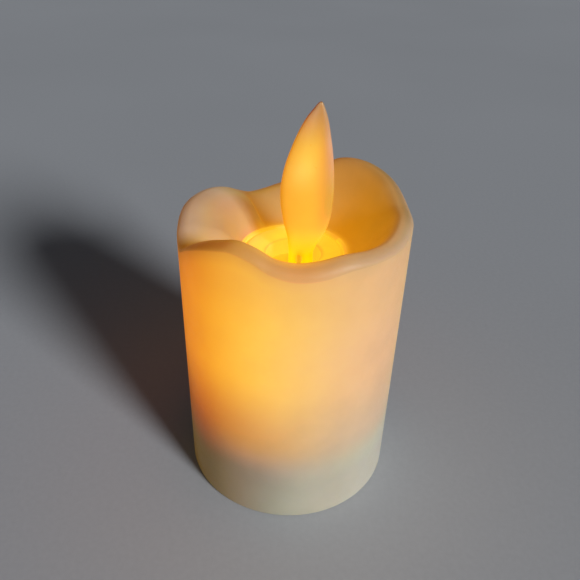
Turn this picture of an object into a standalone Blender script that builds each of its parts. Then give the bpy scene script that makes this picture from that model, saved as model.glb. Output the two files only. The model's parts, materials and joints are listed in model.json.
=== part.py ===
"""Flameless LED candle: a wax-look moulded shell with a melted rim, a swinging flame leaf on a wire,
its coil drive, the circuit board, the coin-cell base with a twist door and a slide switch.

Metres, +Z up. Origin: centre of the base on the resting plane. The front of the candle faces -Y.
"""

import math

import bmesh
import bpy
from mathutils import Matrix, Vector

MM = 0.001

# ---------------------------------------------------------------- driving dimensions (millimetres)
BODY_R = 20.0            # outer radius of the shell, straight sided
WALL = 1.3               # moulded wall
WALL_STATIONS = (12.0, 30.0, 44.0)  # heights of the rings along the straight wall
FOOT_EDGE_R = 0.5        # rounding of the bottom edge
FOOT_EDGE_MID = 0.15     # how far the middle of that rounding lies in from wall and foot
LIP_IN_R = 17.9          # radius at which the rim is highest
BOWL_FLOOR_Z = 47.2      # height of the bowl round the flame opening
OPENING_R = 8.9          # opening in the bowl that the flame deck fills
OPENING_EDGE_R = 0.5     # rounding between the bowl and the opening
AROUND = 56              # sections round the shell

# height of the melted rim round the candle: azimuth from the front (+ towards +X), height
RIM_CREST = (
    (-171, 51.6), (-160, 50.3), (-152, 50.1), (-144, 51.2), (-137, 52.4), (-128, 53.4),
    (-114, 54.0), (-100, 53.8), (-86, 52.3), (-73, 50.7), (-57, 53.5), (-45, 55.5),
    (-37, 56.5), (-28, 57.3), (-18, 56.7), (-10, 55.5), (0, 54.9), (12, 55.1),
    (25, 55.6), (40, 55.1), (58, 54.7), (76, 55.2), (97, 55.2), (105, 56.0),
    (115, 57.3), (127, 58.2), (140, 58.6), (150, 57.9), (157, 56.8), (172, 53.7),
)

PIVOT_X, PIVOT_Z = 1.0, 46.1   # axis of the wire that the flame hangs on, along Y

# the flame leaf, tip to magnet cup: height, left edge (-X), right edge (+X), half thickness
LEAF = (
    (73.2, 3.35, 3.75, 0.25), (72.3, 2.55, 4.2, 0.45), (70.4, 1.2, 4.85, 0.65),
    (67.5, -0.2, 5.45, 0.85), (65.5, -0.95, 5.8, 0.95), (63.4, -1.65, 6.08, 1.0),
    (61.0, -2.2, 6.3, 1.05), (58.2, -2.52, 6.42, 1.1), (55.8, -2.42, 6.36, 1.1),
    (53.8, -2.1, 6.15, 1.1), (52.4, -1.85, 5.85, 1.1), (50.3, -1.3, 5.1, 1.05),
    (49.1, -1.05, 4.45, 1.0), (47.9, -0.95, 3.8, 0.95), (46.7, -0.86, 3.45, 0.9),
    (44.4, -0.86, 3.45, 0.9), (42.9, -0.8, 3.0, 0.9), (42.0, -0.5, 2.5, 0.8),
    (29.6, -0.3, 2.3, 0.8), (29.1, -1.5, 3.5, 2.5), (28.2, -1.5, 3.5, 2.5),
)

BASE_BOTTOM, BASE_TOP = 0.8, 12.0
FLOOR_TOP = 2.3                 # upper face of the base's floor
STACK_GAP = 0.3                 # between base, board, housing and screw heads
BOARD_BOTTOM = BASE_TOP + STACK_GAP
BOARD_TOP = BOARD_BOTTOM + 1.0
PART_Z = BOARD_TOP + STACK_GAP  # components and housing stand here
HOUSING_FLOOR = 1.2             # thickness of the housing's floor and ears

FIX_AZ, FIX_R = 72.0, 14.1      # the two screws through the housing's ears and the board
SIDES = (1, -1)                 # +Y and -Y
FIXINGS = {side: Vector((math.cos(math.radians(FIX_AZ)) * FIX_R,
                         math.sin(math.radians(FIX_AZ)) * FIX_R * side)) for side in SIDES}
CLEARANCE_R = 1.15              # screw holes in the ears and the board

CELL_X = -5.2                   # the coin cell sits off centre, the switch beside it
CELL_AXIS = (CELL_X, 0)
DOOR_TWIST = 35.0               # degrees from locked to released
LUG_HALF = 6.0                  # half width of a bayonet lug, degrees
LUG_AZIMUTHS = (90.0, 270.0)    # locked lugs, degrees from +X
SWITCH_X = 12.0
SWITCH_TRAVEL = 2.0
OVERRUN = 1.0                   # how far cutters run past the faces they open


# ---------------------------------------------------------------- scene, collections, materials
for old in list(bpy.data.objects):
    bpy.data.objects.remove(old, do_unlink=True)

PARTS = bpy.data.collections.new("flameless_led_candle")
CUTTERS = bpy.data.collections.new("cutters")
bpy.context.scene.collection.children.link(PARTS)
bpy.context.scene.collection.children.link(CUTTERS)

GLOW_STRENGTH = 0.6


def material(name, color, roughness, metallic=0.0, glow=None):
    mat = bpy.data.materials.new(name)
    mat.use_nodes = True
    shader = mat.node_tree.nodes["Principled BSDF"]
    shader.inputs["Base Color"].default_value = (*color, 1.0)
    shader.inputs["Roughness"].default_value = roughness
    shader.inputs["Metallic"].default_value = metallic
    if glow:
        shader.inputs["Emission Color"].default_value = (*glow, 1.0)
        shader.inputs["Emission Strength"].default_value = GLOW_STRENGTH
    mat.diffuse_color = (*color, 1.0)
    return mat


WAX = material("wax_look_plastic", color=(0.86, 0.78, 0.62), roughness=0.42, glow=(0.9, 0.45, 0.08))
DECK = material("amber_diffuser", color=(0.98, 0.78, 0.25), roughness=0.35, glow=(1.0, 0.7, 0.1))
FLAME = material("flame_plastic", color=(0.97, 0.80, 0.48), roughness=0.35, glow=(1.0, 0.55, 0.1))
STEEL = material("steel_wire", color=(0.72, 0.71, 0.69), roughness=0.28, metallic=1.0)
NICKEL = material("nickel_plate", color=(0.78, 0.76, 0.72), roughness=0.3, metallic=1.0)
COPPER = material("copper_winding", color=(0.72, 0.35, 0.16), roughness=0.35, metallic=1.0)
NATURAL = material("natural_abs", color=(0.82, 0.80, 0.74), roughness=0.5)
BOBBIN = material("black_nylon", color=(0.05, 0.05, 0.055), roughness=0.5)
BOARD = material("board_green", color=(0.05, 0.25, 0.12), roughness=0.45)
CHIP = material("chip_black", color=(0.03, 0.03, 0.032), roughness=0.5)
RESISTOR = material("resistor_tan", color=(0.75, 0.6, 0.42), roughness=0.5)
CAN = material("capacitor_sleeve", color=(0.08, 0.1, 0.22), roughness=0.4)
LENS = material("led_lens", color=(0.98, 0.82, 0.5), roughness=0.15, glow=(1.0, 0.75, 0.3))
RED = material("wire_red", color=(0.65, 0.04, 0.03), roughness=0.45)
BLACK = material("wire_black", color=(0.03, 0.03, 0.03), roughness=0.45)
BASE = material("base_plastic", color=(0.85, 0.82, 0.73), roughness=0.45)
KNOB = material("switch_knob_black", color=(0.04, 0.04, 0.045), roughness=0.45)


# ---------------------------------------------------------------- solids, sized in millimetres
def new_object(name, mesh, mat):
    """A part if it has a material, otherwise a cutter."""
    obj = bpy.data.objects.new(name, mesh)
    if mat:
        PARTS.objects.link(obj)
        mesh.materials.append(mat)
    else:
        CUTTERS.objects.link(obj)
    return obj


def object_from(name, work, mat):
    """Turns a finished bmesh into an object."""
    mesh = bpy.data.meshes.new(name)
    work.normal_update()
    work.to_mesh(mesh)
    work.free()
    return new_object(name, mesh, mat)


def smooth(obj):
    obj.data.shade_smooth()
    obj.data.set_sharp_from_angle(angle=math.radians(50))


def turned(name, profile, steps, mat, centre=(0, 0, 0)):
    """A profile of (radius, height), running down its outer side, turned about Z.
    A profile whose ends aren't on the axis is closed on itself."""
    verts = [(radius * MM, 0.0, z * MM) for radius, z in profile]
    edges = [(i, i + 1) for i in range(len(verts) - 1)]
    if profile[0][0] > 1e-6 or profile[-1][0] > 1e-6:
        edges.append((len(verts) - 1, 0))
    mesh = bpy.data.meshes.new(name)
    mesh.from_pydata(verts, edges, [])
    obj = new_object(name, mesh, mat)
    obj.location = [value * MM for value in centre]
    screw = obj.modifiers.new("turn", "SCREW")
    screw.axis = "Z"
    screw.angle = 2 * math.pi
    screw.steps = screw.render_steps = steps
    screw.use_merge_vertices = True
    screw.merge_threshold = 1e-6
    screw.use_smooth_shade = True
    return obj


def box(name, low, high, mat=None, bevel=0.0):
    work = bmesh.new()
    bmesh.ops.create_cube(work, size=1.0)
    size = [(end - start) * MM for start, end in zip(low, high)]
    bmesh.ops.scale(work, vec=size, verts=work.verts)
    obj = object_from(name, work, mat)
    obj.location = [(start + end) / 2 * MM for start, end in zip(low, high)]
    if bevel:
        edge = obj.modifiers.new("edge", "BEVEL")
        edge.width = bevel * MM
        edge.segments = 2
        edge.limit_method = "ANGLE"
    return obj


def cylinder(name, radius, bottom, top, centre, steps, mat=None):
    work = bmesh.new()
    bmesh.ops.create_cone(work, cap_ends=True, segments=steps, radius1=radius * MM,
                          radius2=radius * MM, depth=(top - bottom) * MM)
    obj = object_from(name, work, mat)
    obj.location = (centre[0] * MM, centre[1] * MM, (bottom + top) / 2 * MM)
    return obj


def loft(name, rings, mat=None, closed=False):
    """Skins a row of equal rings of points; closed joins the last to the first, else both are
    capped."""
    work = bmesh.new()
    rows = [[work.verts.new((x * MM, y * MM, z * MM)) for x, y, z in ring] for ring in rings]
    count = len(rows[0])
    following = rows[1:] + rows[:1] if closed else rows[1:]
    for here, there in zip(rows, following):
        for i in range(count):
            j = (i + 1) % count
            work.faces.new((here[i], there[i], there[j], here[j]))
    if not closed:
        work.faces.new(rows[0])
        work.faces.new(reversed(rows[-1]))
    bmesh.ops.recalc_face_normals(work, faces=work.faces)
    return object_from(name, work, mat)


def strip(name, path, mat, thickness=0.3, width=4.0):
    """A bent sheet-metal strip along a path of (x, z), its width along Y."""
    points = [Vector(point) for point in path]
    left, right = [], []
    for i, point in enumerate(points):
        before = (point - points[i - 1]).normalized() if i else (points[1] - point).normalized()
        after = (points[i + 1] - point).normalized() if i < len(points) - 1 else before
        normal_before = Vector((-before.y, before.x))
        normal_after = Vector((-after.y, after.x))
        mitre = (normal_before + normal_after).normalized()
        mitre *= thickness / 2 / max(mitre.dot(normal_before), 0.4)
        left.append(point + mitre)
        right.append(point - mitre)
    outline = left + right[::-1]
    work = bmesh.new()
    front, back = [[work.verts.new((x * MM, y * MM, z * MM)) for x, z in outline]
                   for y in (-width / 2, width / 2)]
    count = len(outline)
    for i in range(count):
        j = (i + 1) % count
        work.faces.new((front[i], front[j], back[j], back[i]))
    for row in (front, back):
        for i in range(len(left) - 1):
            work.faces.new((row[i], row[i + 1], row[count - 2 - i], row[count - 1 - i]))
    bmesh.ops.recalc_face_normals(work, faces=work.faces)
    return object_from(name, work, mat)


def wire(name, points, radius, mat):
    """A round wire through points, with softened corners."""
    points = [Vector(point) * MM for point in points]
    path = [points[0]]
    for last, corner, following in zip(points, points[1:], points[2:]):
        reach = min((corner - last).length, (following - corner).length) * 0.35
        start = corner + (last - corner).normalized() * reach
        end = corner + (following - corner).normalized() * reach
        path += [start, (start + end) * 0.25 + corner * 0.5, end]
    path.append(points[-1])
    curve = bpy.data.curves.new(name, "CURVE")
    curve.dimensions = "3D"
    spline = curve.splines.new("POLY")
    spline.points.add(len(path) - 1)
    for spline_point, point in zip(spline.points, path):
        spline_point.co = (*point, 1.0)
    curve.bevel_depth = radius * MM
    curve.bevel_resolution = 2
    curve.use_fill_caps = True
    curve.materials.append(mat)
    PARTS.objects.link(bpy.data.objects.new(name, curve))


# ---------------------------------------------------------------- boolean cutters
def cut(obj, helper, operation="DIFFERENCE"):
    helper.hide_render = True
    helper.display_type = "WIRE"
    boolean = obj.modifiers.new(helper.name, "BOOLEAN")
    boolean.operation = operation
    boolean.solver = "EXACT"
    boolean.object = helper


def cut_box(obj, name, low, high):
    cut(obj, box(name, low, high))


def cut_cylinder(obj, name, radius, bottom, top, centre, steps, operation="DIFFERENCE"):
    cut(obj, cylinder(name, radius, bottom, top, centre, steps), operation)


def cut_sector(obj, name, radii, angles, heights, steps=10, operation="DIFFERENCE"):
    """A ring sector about the cell's axis, angles in degrees from +X."""
    (inner, outer), (bottom, top) = radii, heights
    rings = []
    for i in range(steps + 1):
        angle = math.radians(angles[0] + (angles[1] - angles[0]) * i / steps)
        corners = ((inner, bottom), (outer, bottom), (outer, top), (inner, top))
        rings.append([(r * math.cos(angle), r * math.sin(angle), z) for r, z in corners])
    sector = loft(name, rings)
    sector.location = (CELL_X * MM, 0, 0)
    cut(obj, sector, operation)


# ---------------------------------------------------------------- the shell
def crest_height(azimuth):
    """Rim height at an azimuth: a smooth closed curve through RIM_CREST, by cubic Hermite pieces."""
    count = len(RIM_CREST)
    first = RIM_CREST[0][0]
    azimuth = (azimuth - first) % 360 + first
    i = max(k for k in range(count) if RIM_CREST[k][0] <= azimuth)
    angles = [RIM_CREST[(i + k) % count][0] + 360 * ((i + k) // count) for k in (-1, 0, 1, 2)]
    heights = [RIM_CREST[(i + k) % count][1] for k in (-1, 0, 1, 2)]
    slopes = [(heights[k + 1] - heights[k]) / (angles[k + 1] - angles[k]) for k in range(3)]
    start_slope = (slopes[1] + slopes[0]) / 2
    end_slope = (slopes[2] + slopes[1]) / 2
    span = angles[2] - angles[1]
    t = (azimuth - angles[1]) / span
    return ((2 * t**3 - 3 * t**2 + 1) * heights[1] + (t**3 - 2 * t**2 + t) * span * start_slope
            + (-2 * t**3 + 3 * t**2) * heights[2] + (t**3 - t**2) * span * end_slope)


def ramp(value, start, end):
    """Smooth step from 0 at start to 1 at end."""
    t = min(max((value - start) / (end - start), 0.0), 1.0)
    return t * t * (3 - 2 * t)


def shell_surface(azimuth):
    """Outer face of the shell at one azimuth, as (radius, height): up the wall, over the melted lip
    and down the bowl to the flame opening."""
    crest = crest_height(azimuth)
    # how far below the crest the lip's rounding starts: deeper just right of the front
    droop = 1.1 + 1.1 * math.exp(-(((azimuth - 8) / 24) ** 2))
    wall_top = crest - droop
    points = [(BODY_R - FOOT_EDGE_R, 0.0), (BODY_R - FOOT_EDGE_MID, FOOT_EDGE_MID),
              (BODY_R, FOOT_EDGE_R)]
    points += [(BODY_R, z) for z in (*WALL_STATIONS, wall_top)]
    for i in range(1, 6):
        angle = math.radians(90 * i / 5)
        points.append((LIP_IN_R + (BODY_R - LIP_IN_R) * math.cos(angle),
                       wall_top + droop * math.sin(angle)))
    # the bowl is a Bezier curve: steep, but for a broad gentle tongue of wax at the back left
    tongue = ramp(azimuth, -148, -142) * (1 - ramp(azimuth, -86, -66))
    controls = (
        (LIP_IN_R, crest),
        (LIP_IN_R - 1.9 - 3.6 * tongue, crest),
        (OPENING_R + 3.6 - 1.8 * tongue, BOWL_FLOOR_Z + 2.8 * tongue),
        (OPENING_R + OPENING_EDGE_R, BOWL_FLOOR_Z),
    )
    for i in range(1, 9):
        t = i / 8
        weights = ((1 - t) ** 3, 3 * t * (1 - t) ** 2, 3 * t * t * (1 - t), t**3)
        points.append(tuple(sum(weight * control[axis] for weight, control in zip(weights, controls))
                            for axis in (0, 1)))
    return points


def offset_inside(points, first, distance):
    """The path from its point number first onwards, moved inwards through the wall."""
    moved = []
    for i in range(first, len(points)):
        before, after = points[i - 1], points[min(i + 1, len(points) - 1)]
        along = Vector((after[0] - before[0], after[1] - before[1])).normalized()
        moved.append((points[i][0] - along.y * distance, points[i][1] + along.x * distance))
    return moved


def build_shell():
    wall_top_index = 3 + len(WALL_STATIONS)   # after the foot's three points and the stations
    opening_edge = [(OPENING_R + 0.08, BOWL_FLOOR_Z - 0.2),
                    (OPENING_R, BOWL_FLOOR_Z - OPENING_EDGE_R), (OPENING_R, BOWL_FLOOR_Z - WALL)]
    rings = []
    for k in range(AROUND):
        azimuth = 360.0 * k / AROUND - 180.0
        outer = shell_surface(azimuth)
        inner = [(BODY_R - WALL, z) for z in (0.0, *WALL_STATIONS)]
        inner += offset_inside(outer, wall_top_index, WALL)
        angle = math.radians(azimuth)
        rings.append([(radius * math.sin(angle), -radius * math.cos(angle), z)
                      for radius, z in outer + opening_edge + inner[::-1]])
    smooth(loft("candle_shell", rings, WAX, closed=True))


# ---------------------------------------------------------------- deck, flame leaf, pivot, magnet
def build_deck():
    """Disc that closes the bowl round the flame, with a plug below and a groove for the wire."""
    rim_r, plug_r, hole_r = 8.6, 7.0, 4.8
    top, flange_bottom, plug_bottom = 47.0, 45.8, 43.6
    deck = turned("flame_deck", [
        (hole_r + 0.25, top - 0.35), (6.6, top - 0.22), (8.0, top), (8.45, top - 0.1),
        (rim_r, top - 0.4), (rim_r, flange_bottom), (plug_r, flange_bottom),
        (plug_r, plug_bottom), (hole_r, plug_bottom), (hole_r, top - 0.6)], 40, DECK)
    groove_half = 0.65
    cut_box(deck, "wire_groove", (PIVOT_X - groove_half, -6.7, 45.45),
            (PIVOT_X + groove_half, 6.7, 48.5))


def signed_power(value, exponent):
    return math.copysign(abs(value) ** exponent, value)


def build_leaf():
    """Stacked rounded sections, from the tip through the neck and stem to the magnet cup."""
    around = 20
    rings = []
    for z, left, right, half_thickness in LEAF:
        middle, half_width = (left + right) / 2, (right - left) / 2
        # the cup is elliptical, the thin sections are squarer superellipses
        exponent = 2 / (2.0 if half_thickness > 2 else 2.6)
        ring = []
        for k in range(around):
            angle = 2 * math.pi * k / around
            ring.append((middle + half_width * signed_power(math.cos(angle), exponent),
                         half_thickness * signed_power(math.sin(angle), exponent), z))
        rings.append(ring)
    leaf = loft("flame_leaf", rings, FLAME)
    # the object's origin lies on the wire's axis
    pivot = Vector((PIVOT_X, 0, PIVOT_Z)) * MM
    leaf.data.transform(Matrix.Translation(-pivot))
    leaf.location = pivot

    # slot in the neck that hangs on the wire, its four edges along Y rounded
    eye_half = 0.6
    eye = box("eye_cutter", (PIVOT_X - eye_half, -3, 43.9), (PIVOT_X + eye_half, 3, 46.55))
    rounding = eye.modifiers.new("round", "BEVEL")
    rounding.width = 0.45 * MM
    rounding.segments = 3
    rounding.limit_method = "WEIGHT"
    weights = eye.data.attributes.new("bevel_weight_edge", "FLOAT", "EDGE")
    for edge in eye.data.edges:
        start, end = (eye.data.vertices[index].co for index in edge.vertices)
        along_y = abs(start.x - end.x) < 1e-9 and abs(start.z - end.z) < 1e-9
        weights.data[edge.index].value = 1.0 if along_y else 0.0
    cut(leaf, eye)
    smooth(leaf)


def build_pivot_and_magnet():
    half_length = 6.4
    wire("pivot_wire", [(PIVOT_X, y, PIVOT_Z) for y in (-half_length, 0, half_length)],
         radius=0.35, mat=STEEL)
    radius, bottom, top, edge = 2.4, 25.8, 27.9, 0.2
    turned("flame_magnet", [
        (0, top), (radius - edge, top), (radius, top - edge), (radius, bottom + edge),
        (radius - edge, bottom), (0, bottom)], 24, NICKEL, centre=(PIVOT_X, 0, 0))


# ---------------------------------------------------------------- coil drive
def build_housing():
    """Open-topped tube round the coil and the leaf's stem, on two screwed ears."""
    outer_r, inner_r, floor_hole_r = 8.4, 7.3, 3.0
    bottom, top = PART_Z, 45.4
    floor_top = bottom + HOUSING_FLOOR
    ear_r = 2.3
    housing = turned("flame_housing", [
        (inner_r, top), (outer_r, top), (outer_r, bottom), (floor_hole_r, bottom),
        (floor_hole_r, floor_top), (inner_r, floor_top)], 36, NATURAL)
    for side, fix in FIXINGS.items():
        # the arm is laid along +X about the candle's axis, then turned to its screw
        arm = box(f"ear_arm_{side}", (6.0, -ear_r, bottom), (FIX_R, ear_r, floor_top))
        arm.data.transform(Matrix.Translation(arm.location))
        arm.location = (0, 0, 0)
        arm.rotation_euler = (0, 0, math.radians(FIX_AZ * side))
        cut(housing, arm, "UNION")
        cut_cylinder(housing, f"ear_round_{side}", ear_r, bottom, floor_top, fix, 24, "UNION")
    for side, fix in FIXINGS.items():
        cut_cylinder(housing, f"ear_hole_{side}", CLEARANCE_R, bottom - OVERRUN, bottom + 2, fix, 20)
    cut_box(housing, "light_windows", (-10, -3.0, 29.0), (10, 3.0, 42.5))
    cut_box(housing, "lead_slot", (-7.0, -1.9, bottom - OVERRUN), (-5.4, 1.9, bottom + 2))


def build_coil():
    bottom, top = 15.1, 25.0
    flange_r, core_r, bore_r, flange = 5.0, 2.0, 0.9, 0.9
    turned("coil_bobbin", [
        (bore_r, top), (flange_r, top), (flange_r, top - flange), (core_r, top - flange),
        (core_r, bottom + flange), (flange_r, bottom + flange), (flange_r, bottom),
        (bore_r, bottom)], 28, BOBBIN)

    # the winding's outside is ribbed, one ridge to a turn
    winding_bottom, winding_top = bottom + 1.2, top - 1.2
    inner_r, ridge_r, rib_depth = 2.3, 4.55, 0.22
    half_turns = 7 * 2
    profile = [(inner_r, winding_top)]
    for i in range(half_turns + 1):
        profile.append((ridge_r - (rib_depth if i % 2 == 0 else 0.0),
                        winding_top - (winding_top - winding_bottom) * i / half_turns))
    profile.append((inner_r, winding_bottom))
    turned("coil_winding", profile, 24, COPPER)


# ---------------------------------------------------------------- board and its components
def build_board():
    board = cylinder("circuit_board", 15.5, BOARD_BOTTOM, BOARD_TOP, (0, 0), 48, BOARD)
    for side, fix in FIXINGS.items():
        cut_cylinder(board, f"board_hole_{side}", CLEARANCE_R, 11, 15, fix, 20)


def build_screws():
    """Cross-slotted screws through ears and board into the base's bosses."""
    head = PART_Z + HOUSING_FLOOR + STACK_GAP   # underside of the head
    head_r, shank_r = 1.8, 0.8
    shank_bottom, tip = 6.2, 5.6
    slot_length, slot_width = 0.9, 0.16         # half sizes
    slots = (("a", slot_length, slot_width), ("b", slot_width, slot_length))
    for number, (side, fix) in enumerate(FIXINGS.items(), start=1):
        screw = turned(f"module_screw_{number}", [
            (0, head + 1.1), (1.0, head + 1.05), (1.6, head + 0.75), (head_r, head),
            (shank_r, head), (shank_r, shank_bottom), (0.45, tip), (0, tip)],
            20, NICKEL, centre=(*fix, 0))
        for letter, half_x, half_y in slots:
            cut_box(screw, f"drive_{letter}_{side}", (fix.x - half_x, fix.y - half_y, head + 0.45),
                    (fix.x + half_x, fix.y + half_y, head + 2))


def build_components():
    box("driver_ic", (10.2, -2.45, PART_Z), (14.1, 2.45, PART_Z + 1.5), CHIP, bevel=0.15)
    box("transistor", (8.9, -7.9, PART_Z), (11.8, -6.6, PART_Z + 1.1), CHIP, bevel=0.1)

    # radius, height above the parts' plane; the sleeve is pinched near its foot
    can = ((0, 5.4), (1.8, 5.4), (2.0, 5.2), (2.0, 0.9), (1.85, 0.7), (2.0, 0.5), (2.0, 0), (0, 0))
    turned("capacitor", [(radius, PART_Z + z) for radius, z in can], 24, CAN, centre=(-6.1, 10.4, 0))

    # radius, place along the axis from the middle: a waisted body, the same at both ends
    half = [(0, 1.7), (0.75, 1.65), (0.9, 1.3), (0.9, 1.0), (0.75, 0.8)]
    body = half + [(radius, -along) for radius, along in reversed(half)]
    resistor = turned("resistor", body, 16, RESISTOR, centre=(10.2, 7.0, PART_Z + 0.95))
    resistor.rotation_euler = (math.radians(90), 0, math.radians(-55))


def build_leds():
    """One LED tilted at the flame, one standing beside the housing, each on two leads."""
    # radius, height above the LED's foot
    led = [(0, 5.2), (0.55, 5.1), (1.05, 4.75), (1.38, 4.25), (1.5, 3.6), (1.5, 1.0),
           (1.9, 1.0), (1.9, 0.0), (0, 0.0)]
    glow_x, glow_y = -11.2, -4.4
    flame_led = turned("flame_led", led, 20, LENS, centre=(-5.1, 0, 34.6))
    flame_led.rotation_euler = (0, math.radians(10), 0)
    turned("glow_led", led, 20, LENS, centre=(glow_x, glow_y, 21.0))
    # (x, z) along the flame LED's leads
    flame_path = ((-5.35, 34.1), (-5.5, 32.5), (-6.2, 29.5), (-6.2, PART_Z))
    for pole, y in (("anode", -0.9), ("cathode", 0.9)):
        wire(f"flame_led_{pole}", [(x, y, z) for x, z in flame_path], 0.25, NICKEL)
        wire(f"glow_led_{pole}", [(glow_x, glow_y + y, z) for z in (20.7, 17.0, PART_Z)],
             0.25, NICKEL)


# ---------------------------------------------------------------- base with the battery pocket
def build_base():
    outer_r, inner_r, edge = 18.3, 17.2, 0.3
    block_r, block_top = 12.4, 8.6
    pocket_r, pocket_roof = 10.35, 7.6
    rooted = FLOOR_TOP - 0.4        # added blocks start inside the floor
    base = turned("base_cup", [
        (0, FLOOR_TOP), (inner_r, FLOOR_TOP), (inner_r, BASE_TOP), (outer_r, BASE_TOP),
        (outer_r, BASE_BOTTOM + edge), (outer_r - edge, BASE_BOTTOM), (0, BASE_BOTTOM)], 48, BASE)
    cut_cylinder(base, "pocket_block", block_r, rooted, block_top, CELL_AXIS, 48, "UNION")
    for side, fix in FIXINGS.items():
        cut_cylinder(base, f"boss_{side}", 2.2, rooted, BASE_TOP, fix, 24, "UNION")
    cut_cylinder(base, "battery_pocket", pocket_r, FLOOR_TOP - 0.5, pocket_roof, CELL_AXIS, 48)
    below = BASE_BOTTOM - OVERRUN
    cut_cylinder(base, "door_opening", 11.5, below, FLOOR_TOP + 0.2, CELL_AXIS, 48)

    # bayonet: a groove for each lug's whole twist, open below at the released end
    lug_radii = (10.9, 12.35)
    lug_room = LUG_HALF + 3         # half width of a lug with its play, degrees
    for i, locked in enumerate(LUG_AZIMUTHS):
        start, end = locked - lug_room, locked + DOOR_TWIST + lug_room
        cut_sector(base, f"lug_groove_{i}", lug_radii, (start, end), (1.3, FLOOR_TOP + 0.2))
        cut_sector(base, f"lug_entry_{i}", lug_radii, (end - 2 * lug_room, end), (below, FLOOR_TOP))

    for side, fix in FIXINGS.items():
        cut_cylinder(base, f"boss_hole_{side}", 1.1, 5.0, BASE_TOP + OVERRUN, fix, 20)
    cut_box(base, "switch_window", (SWITCH_X - 1.5, -3.2, below),
            (SWITCH_X + 1.5, 3.2, FLOOR_TOP + OVERRUN))
    cut_box(base, "positive_slot", (4.9, -2.5, 2.9), (6.5, 2.5, block_top + OVERRUN))
    cut_box(base, "negative_slot", (-15.0, -2.5, pocket_roof - 0.3),
            (-13.1, 2.5, block_top + OVERRUN))


def build_cell_and_contacts():
    """The cell lies negative cap up against the leaf contact; the other touches its side."""
    radius, bottom, top, edge = 10.0, 2.8, 6.0, 0.25
    turned("coin_cell", [
        (0, top), (8.7, top), (8.95, top - 0.15), (9.0, top - 0.35), (9.6, top - 0.4),
        (radius, top - 0.8), (radius, bottom + edge), (radius - edge, bottom), (0, bottom)],
        48, NICKEL, centre=(CELL_X, 0, 0))
    strip("contact_positive", [(5.6, 3.2), (5.28, 4.5), (5.6, 5.8), (5.6, BASE_TOP)], NICKEL)
    strip("contact_negative", [(-2.0, 6.75), (-4.5, 6.46), (-8.0, 7.05), (-14.0, 7.05),
                               (-14.0, BASE_TOP)], NICKEL)


def build_door():
    """Twist door with two bayonet lugs and a coin slot; its origin is on the axis it turns about."""
    radius, edge, bottom, rim_top, top = 11.1, 0.2, 0.95, 2.15, 2.45
    door = turned("battery_door", [
        (0, top), (8.4, top), (8.8, rim_top), (radius - edge, rim_top), (radius, rim_top - edge),
        (radius, bottom + edge), (radius - edge, bottom), (0, bottom)],
        48, BASE, centre=(CELL_X, 0, 0))
    for i, locked in enumerate(LUG_AZIMUTHS):
        cut_sector(door, f"lug_{i}", (10.5, 12.05), (locked - LUG_HALF, locked + LUG_HALF),
                   (1.6, rim_top), steps=4, operation="UNION")
    cut_box(door, "coin_slot", (CELL_X - 6.0, -0.9, 0.5), (CELL_X + 6.0, 0.9, 1.55))


def build_switch():
    """Its body stands on the base's floor, its knob reaches down through the window."""
    switch = box("slide_switch", (SWITCH_X - 1.9, -4.4, FLOOR_TOP + 0.35),
                 (SWITCH_X + 1.9, 4.4, 6.3), CHIP, bevel=0.2)
    cut_box(switch, "switch_track", (SWITCH_X - 1.4, -3.0, 1.5), (SWITCH_X + 1.4, 3.0, 5.0))
    knob_y = -SWITCH_TRAVEL / 2
    knob = box("switch_knob", (SWITCH_X - 1.05, knob_y - 1.3, 0.3),
               (SWITCH_X + 1.05, knob_y + 1.3, 4.7), KNOB, bevel=0.2)
    groove_pitch, groove_half = 0.7, 0.15
    for i in range(3):
        y = knob_y + groove_pitch * (i - 1)
        cut_box(knob, f"knob_groove_{i}", (SWITCH_X - 2, y - groove_half, -0.5),
                (SWITCH_X + 2, y + groove_half, 0.55))

    # leads from the switch to the board
    for name, side, mat in (("wire_red", -1, RED), ("wire_black", 1, BLACK)):
        wire(name, [(SWITCH_X, 2.6 * side, 6.6), (SWITCH_X, 2.6 * side, 8.4),
                    (SWITCH_X - 2, 4.6 * side, 10.4), (SWITCH_X - 2, 4.6 * side, BASE_TOP)],
             0.45, mat)


build_shell()
build_deck()
build_leaf()
build_pivot_and_magnet()
build_housing()
build_coil()
build_board()
build_screws()
build_components()
build_leds()
build_base()
build_cell_and_contacts()
build_door()
build_switch()
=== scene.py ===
"""A battery candle: a wax-like shell with a bowl-shaped top, a flame leaf that swings on a wire
in an amber deck, and the coil, lamps, board, cell and switch inside.

Lengths are millimetres, turned into metres by MM where points are made. The candle stands on
z = 0 about the Z axis, with its front towards -Y. Azimuths (az) are degrees: 0 at the front,
90 at the right (+X), -90 at the left and 180 at the back.
"""
import json
import math

import bmesh
import bpy
from mathutils import Matrix, Vector


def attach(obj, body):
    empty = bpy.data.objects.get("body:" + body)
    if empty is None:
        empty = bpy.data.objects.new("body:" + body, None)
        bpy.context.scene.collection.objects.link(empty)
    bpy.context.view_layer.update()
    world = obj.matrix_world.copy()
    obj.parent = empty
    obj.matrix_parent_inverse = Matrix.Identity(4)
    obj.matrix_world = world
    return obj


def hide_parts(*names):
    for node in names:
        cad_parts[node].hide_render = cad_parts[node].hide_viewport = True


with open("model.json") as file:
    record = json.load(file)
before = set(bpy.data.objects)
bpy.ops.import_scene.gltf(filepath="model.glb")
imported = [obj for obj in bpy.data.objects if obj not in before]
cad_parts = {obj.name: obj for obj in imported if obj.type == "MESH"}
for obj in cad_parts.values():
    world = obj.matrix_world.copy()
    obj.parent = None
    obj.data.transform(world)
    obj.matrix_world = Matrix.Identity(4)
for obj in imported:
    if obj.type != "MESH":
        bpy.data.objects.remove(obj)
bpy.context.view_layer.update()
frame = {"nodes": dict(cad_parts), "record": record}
MM = 0.001

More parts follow.
